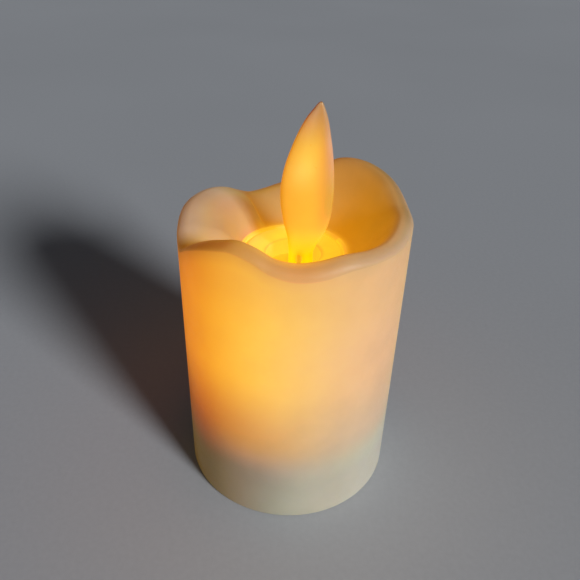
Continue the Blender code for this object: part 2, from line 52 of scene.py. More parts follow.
# ------------------------------------------------------------------ shell sizes
BODY_R, WALL = 20.0, 1.3
LIP_IN_R, BOWL_FLOOR_Z, OPENING_R = 17.9, 47.2, 8.9
SHELL_AROUND, WALL_ROWS, LIP_ROWS, BOWL_ROWS = 300, 26, 14, 34
INNER_LOW_ROWS = 8
INNER_FROM_ROW = 24  # the wall row from which the inner face follows the outer one
FOOT_EDGE_R = 0.5
FOOT_EDGE = ((FOOT_EDGE_R, 0.0), (0.34, 0.03), (0.15, 0.15), (0.03, 0.34))  # (inset, z)
# round the bowl's opening: (distance outside OPENING_R, drop below BOWL_FLOOR_Z)
OPENING_EDGE = ((0.3, 0.04), (0.12, 0.16), (0.03, 0.34), (0.0, 0.55))
# height of the rim's crest: (az, z)
RIM_CREST = (
    (-171, 51.7), (-160, 50.7), (-152, 50.55), (-144, 51.5), (-137, 52.6), (-128, 53.5),
    (-114, 54.0), (-100, 53.8), (-86, 52.3), (-73, 50.7), (-57, 53.5), (-45, 55.5),
    (-37, 56.5), (-28, 57.3), (-18, 56.7), (-10, 55.5), (0, 54.9), (12, 55.1), (25, 55.6),
    (40, 55.1), (58, 54.7), (76, 55.2), (97, 55.2), (105, 56.0), (115, 57.3), (127, 58.2),
    (140, 58.55), (150, 58.2), (157, 57.4), (172, 53.7),
)

# ------------------------------------------------------------------ flame sizes
PIVOT_X, PIVOT_Z = 1.0, 46.1
# the leaf from tip to foot: (z, left x, right x, half thickness)
LEAF = (
    (73.2, 3.35, 3.75, 0.25), (72.3, 2.55, 4.2, 0.45), (70.4, 1.2, 4.85, 0.65),
    (67.5, -0.2, 5.45, 0.85), (65.5, -0.95, 5.8, 0.95), (63.4, -1.65, 6.08, 1.0),
    (61.0, -2.2, 6.3, 1.05), (58.2, -2.52, 6.42, 1.1), (55.8, -2.42, 6.36, 1.1),
    (53.8, -2.1, 6.15, 1.1), (52.4, -1.85, 5.85, 1.1), (50.3, -1.3, 5.1, 1.05),
    (49.1, -1.05, 4.45, 1.0), (47.9, -0.95, 3.8, 0.95), (46.7, -0.86, 3.45, 0.9),
    (44.4, -0.86, 3.45, 0.9), (42.9, -0.8, 3.0, 0.9), (42.0, -0.5, 2.5, 0.8),
    (29.6, -0.3, 2.3, 0.8), (29.1, -1.5, 3.5, 2.5), (28.2, -1.5, 3.5, 2.5),
)
LEAF_TIP_Z, STEM_TOP_Z, STEM_LOW_Z = 73.2, 42.0, 29.6
LEAF_FOOT_ROWS = [28.2, 28.3, 28.6, 29.1, 29.25, 29.4, STEM_LOW_Z]
STEM_ROWS, LEAF_ROWS, LEAF_AROUND = 8, 110, 44

# ------------------------------------------------------------------ window, world and camera
WINDOW_AZ, WINDOW_ELEVATION, WINDOW_SPREAD = 43.0, 22.3, 15.0  # degrees
WINDOW_STRENGTH, WINDOW_COLOUR = 2.56, (0.95, 0.975, 1.0)
AMBIENT_STRENGTH, AMBIENT_COLOUR = 0.044, (0.80, 0.88, 1.0)
CAMERA_PLACE = (-0.4, -95.8, 101.6)
CAMERA_DOWN, CAMERA_ROLL = 33.34, 1.68  # degrees
SENSOR_WIDTH, LENS = 36.0, 38.768276


# ------------------------------------------------------------------ smooth masks and curves
def clamp(x):
    return min(max(x, 0.0), 1.0)


def ramp(x, start, end):
    """0 before start, 1 after end and smooth between."""
    t = clamp((x - start) / (end - start))
    return t * t * (3 - 2 * t)


def plateau(x, rise_start, rise_end, fall_start, fall_end):
    return ramp(x, rise_start, rise_end) * (1 - ramp(x, fall_start, fall_end))


def bump(x, centre, width):
    return math.exp(-(((x - centre) / width) ** 2))


def turn(az, centre):
    """How far az is from centre, the short way round, in degrees."""
    return (az - centre + 180.0) % 360.0 - 180.0


def facing(az, centre, width):
    """A bump round the axis, measured the short way."""
    return bump(turn(az, centre), 0, width)


def hermite(t, step, start, end, start_slope, end_slope):
    return ((2 * t**3 - 3 * t**2 + 1) * start + (t**3 - 2 * t**2 + t) * step * start_slope
            + (-2 * t**3 + 3 * t**2) * end + (t**3 - t**2) * step * end_slope)


def crest_height(az):
    """The rim's height at an azimuth, smoothly round through RIM_CREST."""
    count, first = len(RIM_CREST), RIM_CREST[0][0]
    az = (az - first) % 360 + first
    here = max(k for k in range(count) if RIM_CREST[k][0] <= az)
    near = range(here - 1, here + 3)
    places = [RIM_CREST[k % count][0] + 360 * (k // count) for k in near]
    heights = [RIM_CREST[k % count][1] for k in near]
    slopes = [(heights[k + 1] - heights[k]) / (places[k + 1] - places[k]) for k in range(3)]
    step = places[2] - places[1]
    return hermite((az - places[1]) / step, step, heights[1], heights[2],
                   (slopes[1] + slopes[0]) / 2, (slopes[2] + slopes[1]) / 2)


# ------------------------------------------------------------------ colours
def mix(a, b, t):
    return tuple(x + (y - x) * t for x, y in zip(a, b))


def scaled(colour, factor):
    return tuple(x * factor for x in colour)


def filtered(colour, by):
    return tuple(a * b for a, b in zip(colour, by))


def patched(colour, *patches):
    """The colour with each (mask, change) patch added to it."""
    for mask, change in patches:
        colour = tuple(c + mask * d for c, d in zip(colour, change))
    return colour


# ------------------------------------------------------------------ material builder
NOISE_SPAN = (0.3, 0.7)  # the part of a noise's range that its values mostly fill


class Look:
    """A Principled material built up node by node."""

    def __init__(self, name, roughness, metallic=0.0):
        self.material = bpy.data.materials.new(name)
        self.material.use_nodes = True
        self.nodes = self.material.node_tree.nodes
        self.links = self.material.node_tree.links
        self.shader = self.nodes["Principled BSDF"]
        self.roughness = roughness
        self.set(Roughness=roughness, Metallic=metallic)

    def set(self, node=None, **values):
        """Sets inputs of a node, the shader unless told otherwise; _ stands for a space."""
        for key, value in values.items():
            (node or self.shader).inputs[key.replace("_", " ")].default_value = value

    def add(self, kind, **values):
        node = self.nodes.new("ShaderNode" + kind)
        self.set(node, **values)
        return node

    def feed(self, key, source):
        self.links.new(source, self.shader.inputs[key])

    def position(self, x=1000.0, y=1000.0, z=1000.0):
        """Object coordinates; a scale of 1000 gives millimetres."""
        coordinates = self.nodes.new("ShaderNodeTexCoord")
        mapping = self.add("Mapping", Scale=(x, y, z))
        self.links.new(coordinates.outputs["Object"], mapping.inputs["Vector"])
        return mapping.outputs["Vector"]

    def height_of(self, where):
        split = self.add("SeparateXYZ")
        self.links.new(where, split.inputs["Vector"])
        return split.outputs["Z"]

    def noise(self, where, scale, detail, roughness=0.5):
        node = self.add("TexNoise", Scale=scale, Detail=detail, Roughness=roughness)
        self.links.new(where, node.inputs["Vector"])
        return node.outputs["Fac"]

    def fit(self, value, low, high, span=NOISE_SPAN):
        """Maps the span of a value to low..high."""
        node = self.add("MapRange", From_Min=span[0], From_Max=span[1], To_Min=low, To_Max=high)
        self.links.new(value, node.inputs["Value"])
        return node.outputs["Result"]

    def vary(self, value, amount):
        return self.fit(value, 1.0 - amount, 1.0 + amount)

    def multiply(self, colour, value):
        node = self.nodes.new("ShaderNodeMix")
        node.data_type, node.blend_type = "RGBA", "MULTIPLY"
        self.set(node, Factor=1.0)
        self.links.new(colour, node.inputs["A"])
        self.links.new(value, node.inputs["B"])
        return node.outputs["Result"]

    def gradient(self, value, low, high, ends=(0.0, 1.0), interpolation="LINEAR"):
        node = self.add("ValToRGB")
        node.color_ramp.interpolation = interpolation
        for stop, place, colour in zip(node.color_ramp.elements, ends, (low, high)):
            stop.position = place
            stop.color = (*colour, 1.0)
        self.links.new(value, node.inputs["Fac"])
        return node.outputs["Color"]

    def field(self, name):
        node = self.add("Attribute")
        node.attribute_name = name
        return node.outputs["Color"]

    def glow(self, source):
        self.feed("Emission Color", source)
        self.set(Emission_Strength=1.0)

    def uneven_gloss(self, source, smoother, rougher):
        self.feed("Roughness",
                  self.fit(source, self.roughness - smoother, self.roughness + rougher))

    def grain(self, height, strength, depth):
        """Bumps of a depth in millimetres."""
        node = self.add("Bump", Strength=strength, Distance=depth * MM)
        self.links.new(height, node.inputs["Height"])
        self.feed("Normal", node.outputs["Normal"])


def glowing_plastic(name, roughness, scatter, scatter_scale, grain_scale, grain, mottle):
    """A translucent moulding whose colour and inner light come from the piece's own 'tint' and
    'glow' fields, with cloudy variation, a fine satin grain and uneven gloss. The fields also hold
    painted window light and shade."""
    look = Look(name, roughness)
    look.set(Subsurface_Weight=scatter, Subsurface_Radius=(1.0, 0.55, 0.25),
             Subsurface_Scale=scatter_scale, IOR=1.46)
    where = look.position()
    cloud = look.noise(where, scale=0.16, detail=3.0, roughness=0.55)
    fine = look.noise(where, scale=1.1, detail=4.0, roughness=0.6)
    tint, glow = look.field("tint"), look.field("glow")
    look.feed("Base Color", look.multiply(tint, look.vary(cloud, mottle)))
    cloud_light = look.vary(cloud, mottle * 1.2)
    fine_light = look.vary(fine, mottle * 0.35)
    look.glow(look.multiply(look.multiply(glow, cloud_light), fine_light))
    look.uneven_gloss(fine, smoother=0.07, rougher=0.09)
    grit = look.noise(where, grain_scale, detail=6.0, roughness=0.65)
    look.grain(grit, grain, depth=0.12)
    return look.material


def plain_plastic(name, colour, roughness=0.45, glow=None, glow_span=(0.0, 1.0), mottle=0.05):
    """A plain moulding; its glow, if any, rises from none to full over glow_span in height."""
    look = Look(name, roughness)
    where = look.position()
    cloud = look.noise(where, scale=0.5, detail=3.0)
    grit = look.noise(where, scale=9.0, detail=5.0, roughness=0.6)
    lighter = [min(c * (1.0 + 0.6 * mottle), 1.0) for c in colour]
    look.feed("Base Color",
              look.gradient(cloud, scaled(colour, 1.0 - mottle), lighter, ends=NOISE_SPAN))
    look.uneven_gloss(grit, smoother=0.08, rougher=0.1)
    look.grain(grit, strength=0.25, depth=0.1)
    if glow:
        level = look.fit(look.height_of(where), 0.0, 1.0, span=glow_span)
        level = look.fit(level, 0.0, 1.0, span=(0.0, 1.0))
        tone = look.gradient(level, (0, 0, 0), glow)
        look.glow(look.multiply(tone, look.vary(cloud, 0.12)))
    return look.material


def brushed_metal(name, colour, roughness=0.3, stretch=(1.0, 1.0, 12.0), glow=None):
    """Metal with fine lines; a large stretch packs them closer along that axis."""
    look = Look(name, roughness, metallic=1.0)
    lines = look.noise(look.position(*scaled(stretch, 1000.0)), scale=1.2, detail=5.0,
                       roughness=0.6)
    tone = look.noise(look.position(), scale=0.4, detail=3.0)
    lighter = [min(c * 1.08, 1.0) for c in colour]
    look.feed("Base Color", look.gradient(tone, scaled(colour, 0.82), lighter))
    look.uneven_gloss(lines, smoother=0.1, rougher=0.14)
    look.grain(lines, strength=0.2, depth=0.05)
    if glow:
        look.glow(look.gradient(tone, scaled(glow, 0.8), scaled(glow, 1.15)))
    return look.material


def painted_plastic(name, roughness):
    """A moulding whose colour comes from its own 'tint' field."""
    look = Look(name, roughness)
    where = look.position()
    tint = look.field("tint")
    grit = look.noise(where, scale=6.0, detail=5.0, roughness=0.6)
    look.feed("Base Color", look.multiply(tint, look.fit(grit, 0.92, 1.06)))
    look.uneven_gloss(grit, smoother=0.07, rougher=0.09)
    look.grain(grit, strength=0.2, depth=0.08)
    return look.material


# ------------------------------------------------------------------ materials
# by material slot: (slot, kind, settings)
SLOT_LOOKS = (
    ("magnet_nickel", brushed_metal, dict(colour=(0.62, 0.60, 0.56), roughness=0.22)),
    # the steel wire's warm tone and orange glow are a painted reflection of the amber light round
    # it
    ("steel_wire", brushed_metal, dict(colour=(0.66, 0.52, 0.34), roughness=0.34,
                                       stretch=(1.0, 8.0, 1.0), glow=(0.30, 0.12, 0.006))),
    # the housing's glow is painted light from the lamps inside it
    ("housing_plastic", plain_plastic, dict(colour=(0.62, 0.50, 0.30), roughness=0.5,
                                            glow=(0.66, 0.30, 0.01), glow_span=(24.0, 41.0))),
    # the bobbin's glow at its top is painted light from the flame lamp above it
    ("bobbin_black", plain_plastic, dict(colour=(0.03, 0.03, 0.033), roughness=0.5,
                                         glow=(0.10, 0.045, 0.003), glow_span=(23.0, 26.0))),
    ("coil_copper", brushed_metal, dict(colour=(0.78, 0.36, 0.16), stretch=(1.0, 1.0, 14.0))),
    ("board_green", plain_plastic, dict(colour=(0.03, 0.17, 0.07), roughness=0.4)),
    ("chip_black", plain_plastic, dict(colour=(0.02, 0.02, 0.022), roughness=0.55)),
    ("capacitor_sleeve", plain_plastic, dict(colour=(0.03, 0.04, 0.12), roughness=0.3)),
    ("resistor_body", plain_plastic, dict(colour=(0.62, 0.44, 0.26), roughness=0.4)),
    ("led_lens", plain_plastic, dict(colour=(0.9, 0.75, 0.45), roughness=0.12,
                                     glow=(1.0, 0.57, 0.09))),
    ("contact_metal", brushed_metal, dict(colour=(0.66, 0.64, 0.60))),
    ("screw_steel", brushed_metal, dict(colour=(0.58, 0.58, 0.57), roughness=0.32)),
    ("base_plastic", plain_plastic, dict(colour=(0.70, 0.64, 0.52), mottle=0.035)),
    ("door_plastic", plain_plastic, dict(colour=(0.71, 0.65, 0.53), roughness=0.42,
                                         mottle=0.035)),
    ("cell_can", brushed_metal, dict(colour=(0.62, 0.61, 0.59), roughness=0.25)),
    ("switch_black", plain_plastic, dict(colour=(0.03, 0.03, 0.033))),
    ("knob_black", plain_plastic, dict(colour=(0.035, 0.035, 0.04), roughness=0.4)),
    ("wire_red", plain_plastic, dict(colour=(0.45, 0.02, 0.015), roughness=0.4)),
    ("wire_black", plain_plastic, dict(colour=(0.02, 0.02, 0.02), roughness=0.4)),
)
LOOKS = {slot: kind(f"{slot}_look", **settings) for slot, kind, settings in SLOT_LOOKS}

for part in frame["record"]["subparts"]:
    if part["material_slot"] in LOOKS:
        materials = frame["nodes"][part["node"]].data.materials
        materials.clear()
        materials.append(LOOKS[part["material_slot"]])

SHELL = glowing_plastic("wax_plastic_look", roughness=0.45, scatter=0.25, scatter_scale=0.004,
                        grain_scale=6.0, grain=0.3, mottle=0.035)
FLAME = glowing_plastic("flame_plastic_look", roughness=0.34, scatter=0.3, scatter_scale=0.003,
                        grain_scale=7.0, grain=0.18, mottle=0.03)
DECK = glowing_plastic("deck_amber_look", roughness=0.38, scatter=0.2, scatter_scale=0.003,
                       grain_scale=7.0, grain=0.2, mottle=0.05)
SOLDER = brushed_metal("solder_look", (0.60, 0.60, 0.59), 0.28, stretch=(1.0, 1.0, 1.0))
TRACK = plain_plastic("track_look", (0.045, 0.26, 0.10), roughness=0.35)


# ------------------------------------------------------------------ mesh helpers
def link(name, mesh, mat):
    obj = bpy.data.objects.new(name, mesh)
    bpy.context.scene.collection.objects.link(obj)
    mesh.materials.append(mat)
    return obj


def smooth_shade(mesh, sharp):
    mesh.shade_smooth()
    mesh.set_sharp_from_angle(angle=math.radians(sharp))


def finish_mesh(name, bm, sharp):
    mesh = bpy.data.meshes.new(name)
    bm.to_mesh(mesh)
    bm.free()
    smooth_shade(mesh, sharp)
    return mesh


def loft(rows, caps=False, closed_along=False):
    """A skin through rows of points in metres, each row a loop."""
    bm = bmesh.new()
    made = [[bm.verts.new(p) for p in row] for row in rows]
    count = len(rows[0])
    pairs = list(zip(made, made[1:]))
    if closed_along:
        pairs.append((made[-1], made[0]))
    for p, q in pairs:
        for i in range(count):
            j = (i + 1) % count
            bm.faces.new((p[i], q[i], q[j], p[j]))
    if caps:
        bm.faces.new(made[0])
        bm.faces.new(reversed(made[-1]))
    bmesh.ops.recalc_face_normals(bm, faces=bm.faces)
    return bm


def turned_mesh(profile, steps):
    """An (r, z) profile turned about Z; one that stays off the axis closes on itself."""
    bm = bmesh.new()
    rows = []
    for r, z in profile:
        if r < 1e-6:
            rows.append([bm.verts.new((0.0, 0.0, z * MM))])
            continue
        angles = [2 * math.pi * k / steps for k in range(steps)]
        rows.append([bm.verts.new((r * math.cos(a) * MM, r * math.sin(a) * MM, z * MM))
                     for a in angles])
    pairs = list(zip(rows, rows[1:]))
    if len(rows[0]) > 1 and len(rows[-1]) > 1:
        pairs.append((rows[-1], rows[0]))
    for p, q in pairs:
        for i in range(steps):
            j = (i + 1) % steps
            if len(p) == 1:
                bm.faces.new((p[0], q[i], q[j]))
            elif len(q) == 1:
                bm.faces.new((p[i], q[0], p[j]))
            else:
                bm.faces.new((p[i], q[i], q[j], p[j]))
    bmesh.ops.recalc_face_normals(bm, faces=bm.faces)
    return bm


def curved_corner(before, corner, after, reach, steps):
    """Points of the curve that replaces a corner, at the given steps from 0 to 1."""
    start = corner + (before - corner).normalized() * reach
    end = corner + (after - corner).normalized() * reach
    return [start * (1 - t) ** 2 + corner * (2 * t * (1 - t)) + end * t * t for t in steps]


def eased(profile, radius):
    """The same outline with its corners softened."""
    closed = profile[0][0] > 1e-6 and profile[-1][0] > 1e-6
    count = len(profile)
    out = []
    for i, point in enumerate(profile):
        if not closed and i in (0, count - 1):
            out.append(point)
            continue
        corner, before = Vector(point), Vector(profile[i - 1])
        after = Vector(profile[(i + 1) % count])
        reach = min(radius, (before - corner).length * 0.4, (after - corner).length * 0.4)
        curve = curved_corner(before, corner, after, reach, (0.0, 0.33, 0.67, 1.0))
        out += [(p.x, p.y) for p in curve]
    return out


def rounded_path(points, share, steps, longest=math.inf):
    """A path with each corner curved over a share of its shorter side."""
    points = [Vector(p) for p in points]
    out = [points[0]]
    for a, b, c in zip(points, points[1:], points[2:]):
        reach = min((b - a).length, (c - b).length, longest) * share
        out += curved_corner(a, b, c, reach, steps)
    return out + [points[-1]]


def placed(bm, at=(0, 0, 0), heading=0.0):
    """Turns bm about Z by a heading in degrees, then moves it."""
    matrix = Matrix.Rotation(math.radians(heading), 4, "Z")
    bmesh.ops.transform(bm, matrix=matrix, verts=bm.verts)
    bmesh.ops.translate(bm, vec=Vector(at) * MM, verts=bm.verts)
    return bm


def drum(radius, low, high, at=(0, 0, 0), steps=96, ease=0.0):
    outline = [(0, high), (radius, high), (radius, low), (0, low)]
    return placed(turned_mesh(eased(outline, ease) if ease else outline, steps), at)


def block_mesh(lo, hi, bevel=0.0, segments=3, edges=None):
    """A block between two corners with rounded edges; edges picks them by direction, as in 'y'
    for those along Y."""
    bm = bmesh.new()
    corners = [bm.verts.new(tuple((hi if i & bit else lo)[axis] * MM
                                  for axis, bit in enumerate((1, 2, 4)))) for i in range(8)]
    for face in ((0, 2, 3, 1), (4, 5, 7, 6), (0, 1, 5, 4), (2, 6, 7, 3), (0, 4, 6, 2),
                 (1, 3, 7, 5)):
        bm.faces.new([corners[i] for i in face])
    bmesh.ops.recalc_face_normals(bm, faces=bm.faces)

    def chosen(edge):
        along = (edge.verts[0].co - edge.verts[1].co).normalized()
        return edges is None or abs(along["xyz".index(edges)]) > 0.9

    if bevel:
        bmesh.ops.bevel(bm, geom=[e for e in bm.edges if chosen(e)], offset=bevel * MM,
                        segments=segments, profile=0.5, affect="EDGES")
    return bm


def tangent(path, i):
    return (path[min(i + 1, len(path) - 1)] - path[max(i - 1, 0)]).normalized()


def smooth_path(points, per=8):
    """A smooth curve that passes through the points, with so many steps between each two."""
    p = [Vector(q) for q in (points[0], *points, points[-1])]
    out = []
    for i in range(1, len(p) - 2):
        for k in range(per):
            t = k / per
            out.append(0.5 * (2 * p[i] + (p[i + 1] - p[i - 1]) * t
                              + (2 * p[i - 1] - 5 * p[i] + 4 * p[i + 1] - p[i + 2]) * t * t
                              + (3 * p[i] - p[i - 1] - 3 * p[i + 1] + p[i + 2]) * t**3))
    return out + [p[-1]]


def tube_mesh(path, radius, around=14):
    """A round wire along a path in millimetres, with rounded ends."""
    path = [Vector(p) for p in path]
    across = tangent(path, 0).orthogonal().normalized()
    stations = []
    for i, p in enumerate(path):
        along = tangent(path, i)
        across = (across - along * across.dot(along)).normalized()
        stations.append((p, along, across.copy(), radius))

    def end_station(station, sign, a):
        p, along, across, _ = station
        return p + along * (sign * radius * math.sin(a) * 0.8), along, across, radius * math.cos(a)

    head = [end_station(stations[0], -1, a) for a in (1.2, 0.8, 0.4)]
    tail = [end_station(stations[-1], 1, a) for a in (0.4, 0.8, 1.2)]
    rows = []
    for p, along, across, r in head + stations + tail:
        other = along.cross(across)
        angles = [2 * math.pi * k / around for k in range(around)]
        rows.append([(p + (across * math.cos(a) + other * math.sin(a)) * r) * MM
                     for a in angles])
    return loft(rows, caps=True)


def bar_along_y(outline, half_length):
    """A bar through the pivot with an outline of (x from the pivot, z)."""
    return loft([[((PIVOT_X + x) * MM, y * MM, z * MM) for x, z in outline]
                 for y in (-half_length, half_length)], caps=True)


def joined(meshes):
    """One bmesh from several."""
    out = bmesh.new()
    for bm in meshes:
        mesh = bpy.data.meshes.new("part")
        bm.to_mesh(mesh)
        bm.free()
        out.from_mesh(mesh)
        bpy.data.meshes.remove(mesh)
    return out


def piece(name, bm, mat, body="candle", stands_for=None, slot=None, sharp=38.0, cuts=(),
          adds=()):
    """A finished piece: its mesh, what is joined to it and cut from it, the body it moves with
    and the CAD node it stands for."""
    obj = link(name, finish_mesh(name, bm, sharp), mat)
    helpers = []
    for kind, group in (("UNION", adds), ("DIFFERENCE", cuts)):
        for i, other in enumerate(group):
            helper = link(f"{name}_{kind.lower()}_{i}", finish_mesh("helper", other, sharp), mat)
            mod = obj.modifiers.new(f"{kind}_{i}", "BOOLEAN")
            mod.operation, mod.solver, mod.object = kind, "EXACT", helper
            helpers.append(helper)
    if helpers:
        bpy.context.view_layer.update()
        graph = bpy.context.evaluated_depsgraph_get()
        mesh = bpy.data.meshes.new_from_object(obj.evaluated_get(graph))
        obj.modifiers.clear()
        obj.data = mesh
        for helper in helpers:
            bpy.data.objects.remove(helper)
        smooth_shade(mesh, sharp)
    if stands_for:
        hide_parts(stands_for)
    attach(obj, body)
    return obj


def finer(node, slot, bm, mat=None, **more):
    """The piece that stands for a CAD node, named after it."""
    return piece(f"{node}_fine", bm, mat or LOOKS[slot], stands_for=node, slot=slot, **more)


def write_fields(mesh, colours):
    """Writes the 'tint' and 'glow' fields from one (tint, glow) pair for each vertex."""
    for i, name in enumerate(("tint", "glow")):
        field = mesh.attributes.new(name, "FLOAT_COLOR", "POINT")
        field.data.foreach_set("color", [c for pair in colours for c in (*pair[i], 1.0)])


def paint(obj, rule):
    """Writes the fields from rule(x, y, z) in millimetres."""
    write_fields(obj.data, [rule(*(c / MM for c in v.co)) for v in obj.data.vertices])


# ------------------------------------------------------------------ the shell's section
def shell_surface(az):
    """(r, z, stage) up the wall, over the lip and down the bowl; the stage is 0 on the wall,
    1 at the crest, 2 at the opening and 3 on the inner face."""
    crest = crest_height(az)
    droop = 1.1 + 1.1 * bump(az, 8, 24)
    top = crest - droop
    points = [(BODY_R - inset, z, 0.0) for inset, z in FOOT_EDGE]
    for i in range(WALL_ROWS + 1):
        points.append((BODY_R, FOOT_EDGE_R + (top - FOOT_EDGE_R) * i / WALL_ROWS, 0.0))
    for i in range(1, LIP_ROWS + 1):
        a = math.radians(90 * i / LIP_ROWS)
        points.append((LIP_IN_R + (BODY_R - LIP_IN_R) * math.cos(a), top + droop * math.sin(a),
                       i / LIP_ROWS))
    # the bowl is a cubic curve; a tongue at the back left reaches further in
    tongue = plateau(az, -150, -140, -86, -66)
    handles = ((LIP_IN_R, crest), (LIP_IN_R - 1.9 - 3.6 * tongue, crest),
               (OPENING_R + 3.6 - 1.8 * tongue, BOWL_FLOOR_Z + 2.8 * tongue),
               (OPENING_R + 0.5, BOWL_FLOOR_Z))
    for i in range(1, BOWL_ROWS + 1):
        t = i / BOWL_ROWS
        weights = ((1 - t) ** 3, 3 * t * (1 - t) ** 2, 3 * t * t * (1 - t), t**3)
        r, z = (sum(w * p[k] for w, p in zip(weights, handles)) for k in (0, 1))
        points.append((r, z, 1.0 + t))
    return points


def offset_inside(points, first, distance):
    moved = []
    for i in range(first, len(points)):
        a, b = points[i - 1], points[min(i + 1, len(points) - 1)]
        along = Vector((b[0] - a[0], b[1] - a[1])).normalized()
        moved.append((points[i][0] - along.y * distance, points[i][1] + along.x * distance, 3.0))
    return moved


# ------------------------------------------------------------------ the shell's colours
# A mask runs from 0 to 1 and the number before it is its strength. ramp takes (value, start,
# end), bump and facing take (value, centre, width); the values are az, z, r or the stage.
IVORY = (0.614, 0.545, 0.412)
WARM_WAX = (0.572, 0.426, 0.250)
FRONT_WAX = (0.56, 0.40, 0.10)
DOME_WAX = (0.56, 0.46, 0.36)
AMBER_WAX = (0.45, 0.33, 0.14)
LIT_Z = 33  # where the wall reaches its full light

# light of the lip round the axis: a level, then (strength, az, width) for each bump
LIP_RED = (0.19, (0.13, -18, 36), (0.07, 6, 13), (-0.07, 92, 40), (-0.05, 124, 18),
           (0.10, 180, 45))
LIP_GREEN = (0.06, (0.05, -130, 28), (0.04, 180, 40), (-0.03, 110, 22))
LIP_BLUE = (0.0, (0.05, -130, 28), (0.02, 180, 40))


def side(az, start, end):
    """0 left of start, 1 right of end, and back to 0 round the back."""
    return plateau(az, start, end, 110, 170)


def dome(az):
    """1 on the broad tongue of run wax at the back left, 0 elsewhere."""
    return plateau(az, -150, -138, -85, -66)


def wall_light(az, z):
    """Strongest left of the front and high up, a deeper orange where it dies away."""
    away = turn(az, -35)
    red = (0.30 + 0.53 * bump(away, 0, 55 if away > 0 else 72)
           + 0.32 * (ramp(away, 110, 170) if away > 0 else ramp(-away, 50, 120))
           - 0.07 * facing(az, -72, 14) / 1.0 * 0)
    green = 0.12 + 0.23 * facing(az, -18, 42) + 0.12 * ramp(abs(turn(az, -18)), 70, 140)
    left_dip = 0.07 * facing(az, -72, 14) + 0.07 * facing(az, -68, 14) * bump(z, 25, 6)
    red -= left_dip
    green += 0.035 * facing(az, -64, 16) * (1 - ramp(z, 18, 30))
    low = 9 + 2.2 * bump(az, -22, 20)
    rise = 0.55 * ramp(z, low, LIT_Z) + 0.45 * clamp((z - low) / (LIT_Z - low))
    # a higher power keeps the green back longer, so the foot of the light is redder
    power = 2.0 - 1.4 * side(az, -40, 45) + 0.5 * side(az, 68, 98)
    top = ramp(z, 43, 52)
    foot = (0.05 * facing(az, -72, 38) * (1 - ramp(z, 12, 22))
            + 0.05 * bump(az, -14, 20) * bump(z, 21, 6)
            + 0.045 * bump(az, -24, 20) * bump(z, 15.6, 2.4))
    start = bump(z, 18.5, 4.0) * side(az, -60, -30)
    main = (red * rise * (1 - 0.12 * top), green * rise**power * (1 - 0.22 * top),
            0.03 * side(az, 0, 55) * rise)
    return patched(main, (foot, (1, 0.4, 0)), (start, (0.045, 0.026, 0.028 * side(az, 0, 45))))


def lip_light(az):
    return tuple(level + sum(strength * facing(az, centre, width)
                             for strength, centre, width in bumps)
                 for level, *bumps in (LIP_RED, LIP_GREEN, LIP_BLUE))


def bowl_light(az, r):
    inward = clamp((17.5 - r) / 8.3)
    near = 1 - ramp(r, 8.95, 10.6)  # close to the opening
    out = ramp(r, 11.5, 17.0)
    valley = (0.05 * facing(az, -160, 26) * ramp(r, 10, 12)
              + 0.05 * facing(az, 178, 14) * ramp(r, 14, 17))
    right = (0.05 * facing(az, 62, 22) * bump(r, 13.5, 2.6) + 0.05 * near * facing(az, 78, 18)
             + 0.045 * facing(az, 146, 20) * ramp(r, 10.5, 13))
    back = facing(az, -172, 22) * ramp(r, 9.5, 12)
    plain = patched((0.34 + 0.24 * inward**1.3, 0.115 + 0.08 * inward, 0.0),
                    (near, (0.24, 0.15, 0.008)), (valley, (-1, -0.4, 0)),
                    (right, (-1, -0.6, 0)), (back, (0, 0, 0.022)))
    dome_back = 0.11 * facing(az, -142, 15)
    cheek = facing(az, -130, 15) * out
    cleft = facing(az, -132, 8) * ramp(r, 9.5, 11)
    duller = near * facing(az, -114, 22)
    domed = patched((0.23, 0.03, 0.01), (out, (0.06, 0.09, 0.055 * facing(az, -132, 20))),
                    (dome_back, (1, 0.86, 0)), (near, (0.30, 0.15, 0)),
                    (duller, (-0.20, -0.19, 0)), (cheek, (0, 0.03, 0)),
                    (cleft, (0.02, 0.035, 0.022)))
    return mix(plain, domed, dome(az))


def foot_tint(az, z):
    """Ivory, with painted shade and warm glow in the colour: yellower at the front left, turned
    from the window, and a touch lighter and bluer on the right that faces it; greyer in a low
    patch near the front.
    """
    behind = ramp(abs(az), 96, 130)
    right = side(az, 25, 50)
    grey = 1 - 0.10 * bump(az, -16, 17) * bump(z, 10.2, 3.2)
    red = 1.0 + 0.02 * right - 0.10 * bump(az, -12, 18) * (1 - ramp(z, 5, 12))
    green = 0.80 + 0.20 * max(side(az, -30, 10), behind) + 0.05 * right
    blue = (0.42 + 0.58 * max(side(az, -60, 15), behind) + 0.10 * right
            - 0.10 * facing(az, -66, 24))
    return filtered(IVORY, scaled((red, green, blue), grey))


def wax_tint(az, z):
    """Warm wax that keeps its blue on the right, towards the window, and turns yellower on the
    left and at the back: painted shade of the sides turned from the window.
    """
    blue = 0.85 + 0.14 * (1 - ramp(z, 20, 34)) - 0.16 * ramp(z, 36, 50)
    left = 0.08 * facing(az, -72, 26) * (1 - ramp(z, 24, 34))
    return filtered(WARM_WAX, (1.0, 1.0, 0.25 + blue * side(az, -60, 32) - left))


def dull_tint(az, wax, amber):
    """The thicker, greyer plastic of the lip, amber at the back right."""
    dull = mix(mix(wax, FRONT_WAX, 0.55 * bump(az, 6, 18)), DOME_WAX, dome(az))
    return mix(dull, AMBER_WAX, amber * (ramp(az, 66, 104) * (1 - 0.5 * ramp(az, 160, 180))))


def crest_patches(az, front, highlight_mask):
    """Glow on the crest's front and a painted highlight on its right, by how far each has come in.
    """
    lobes = 0.30 * bump(az, 3, 17) + 0.03 * bump(az, -22, 12)
    return (lobes * front, (1, 0.40, 0)), (bump(az, 62, 32) * highlight_mask, (0.05, 0.03, 0.02))


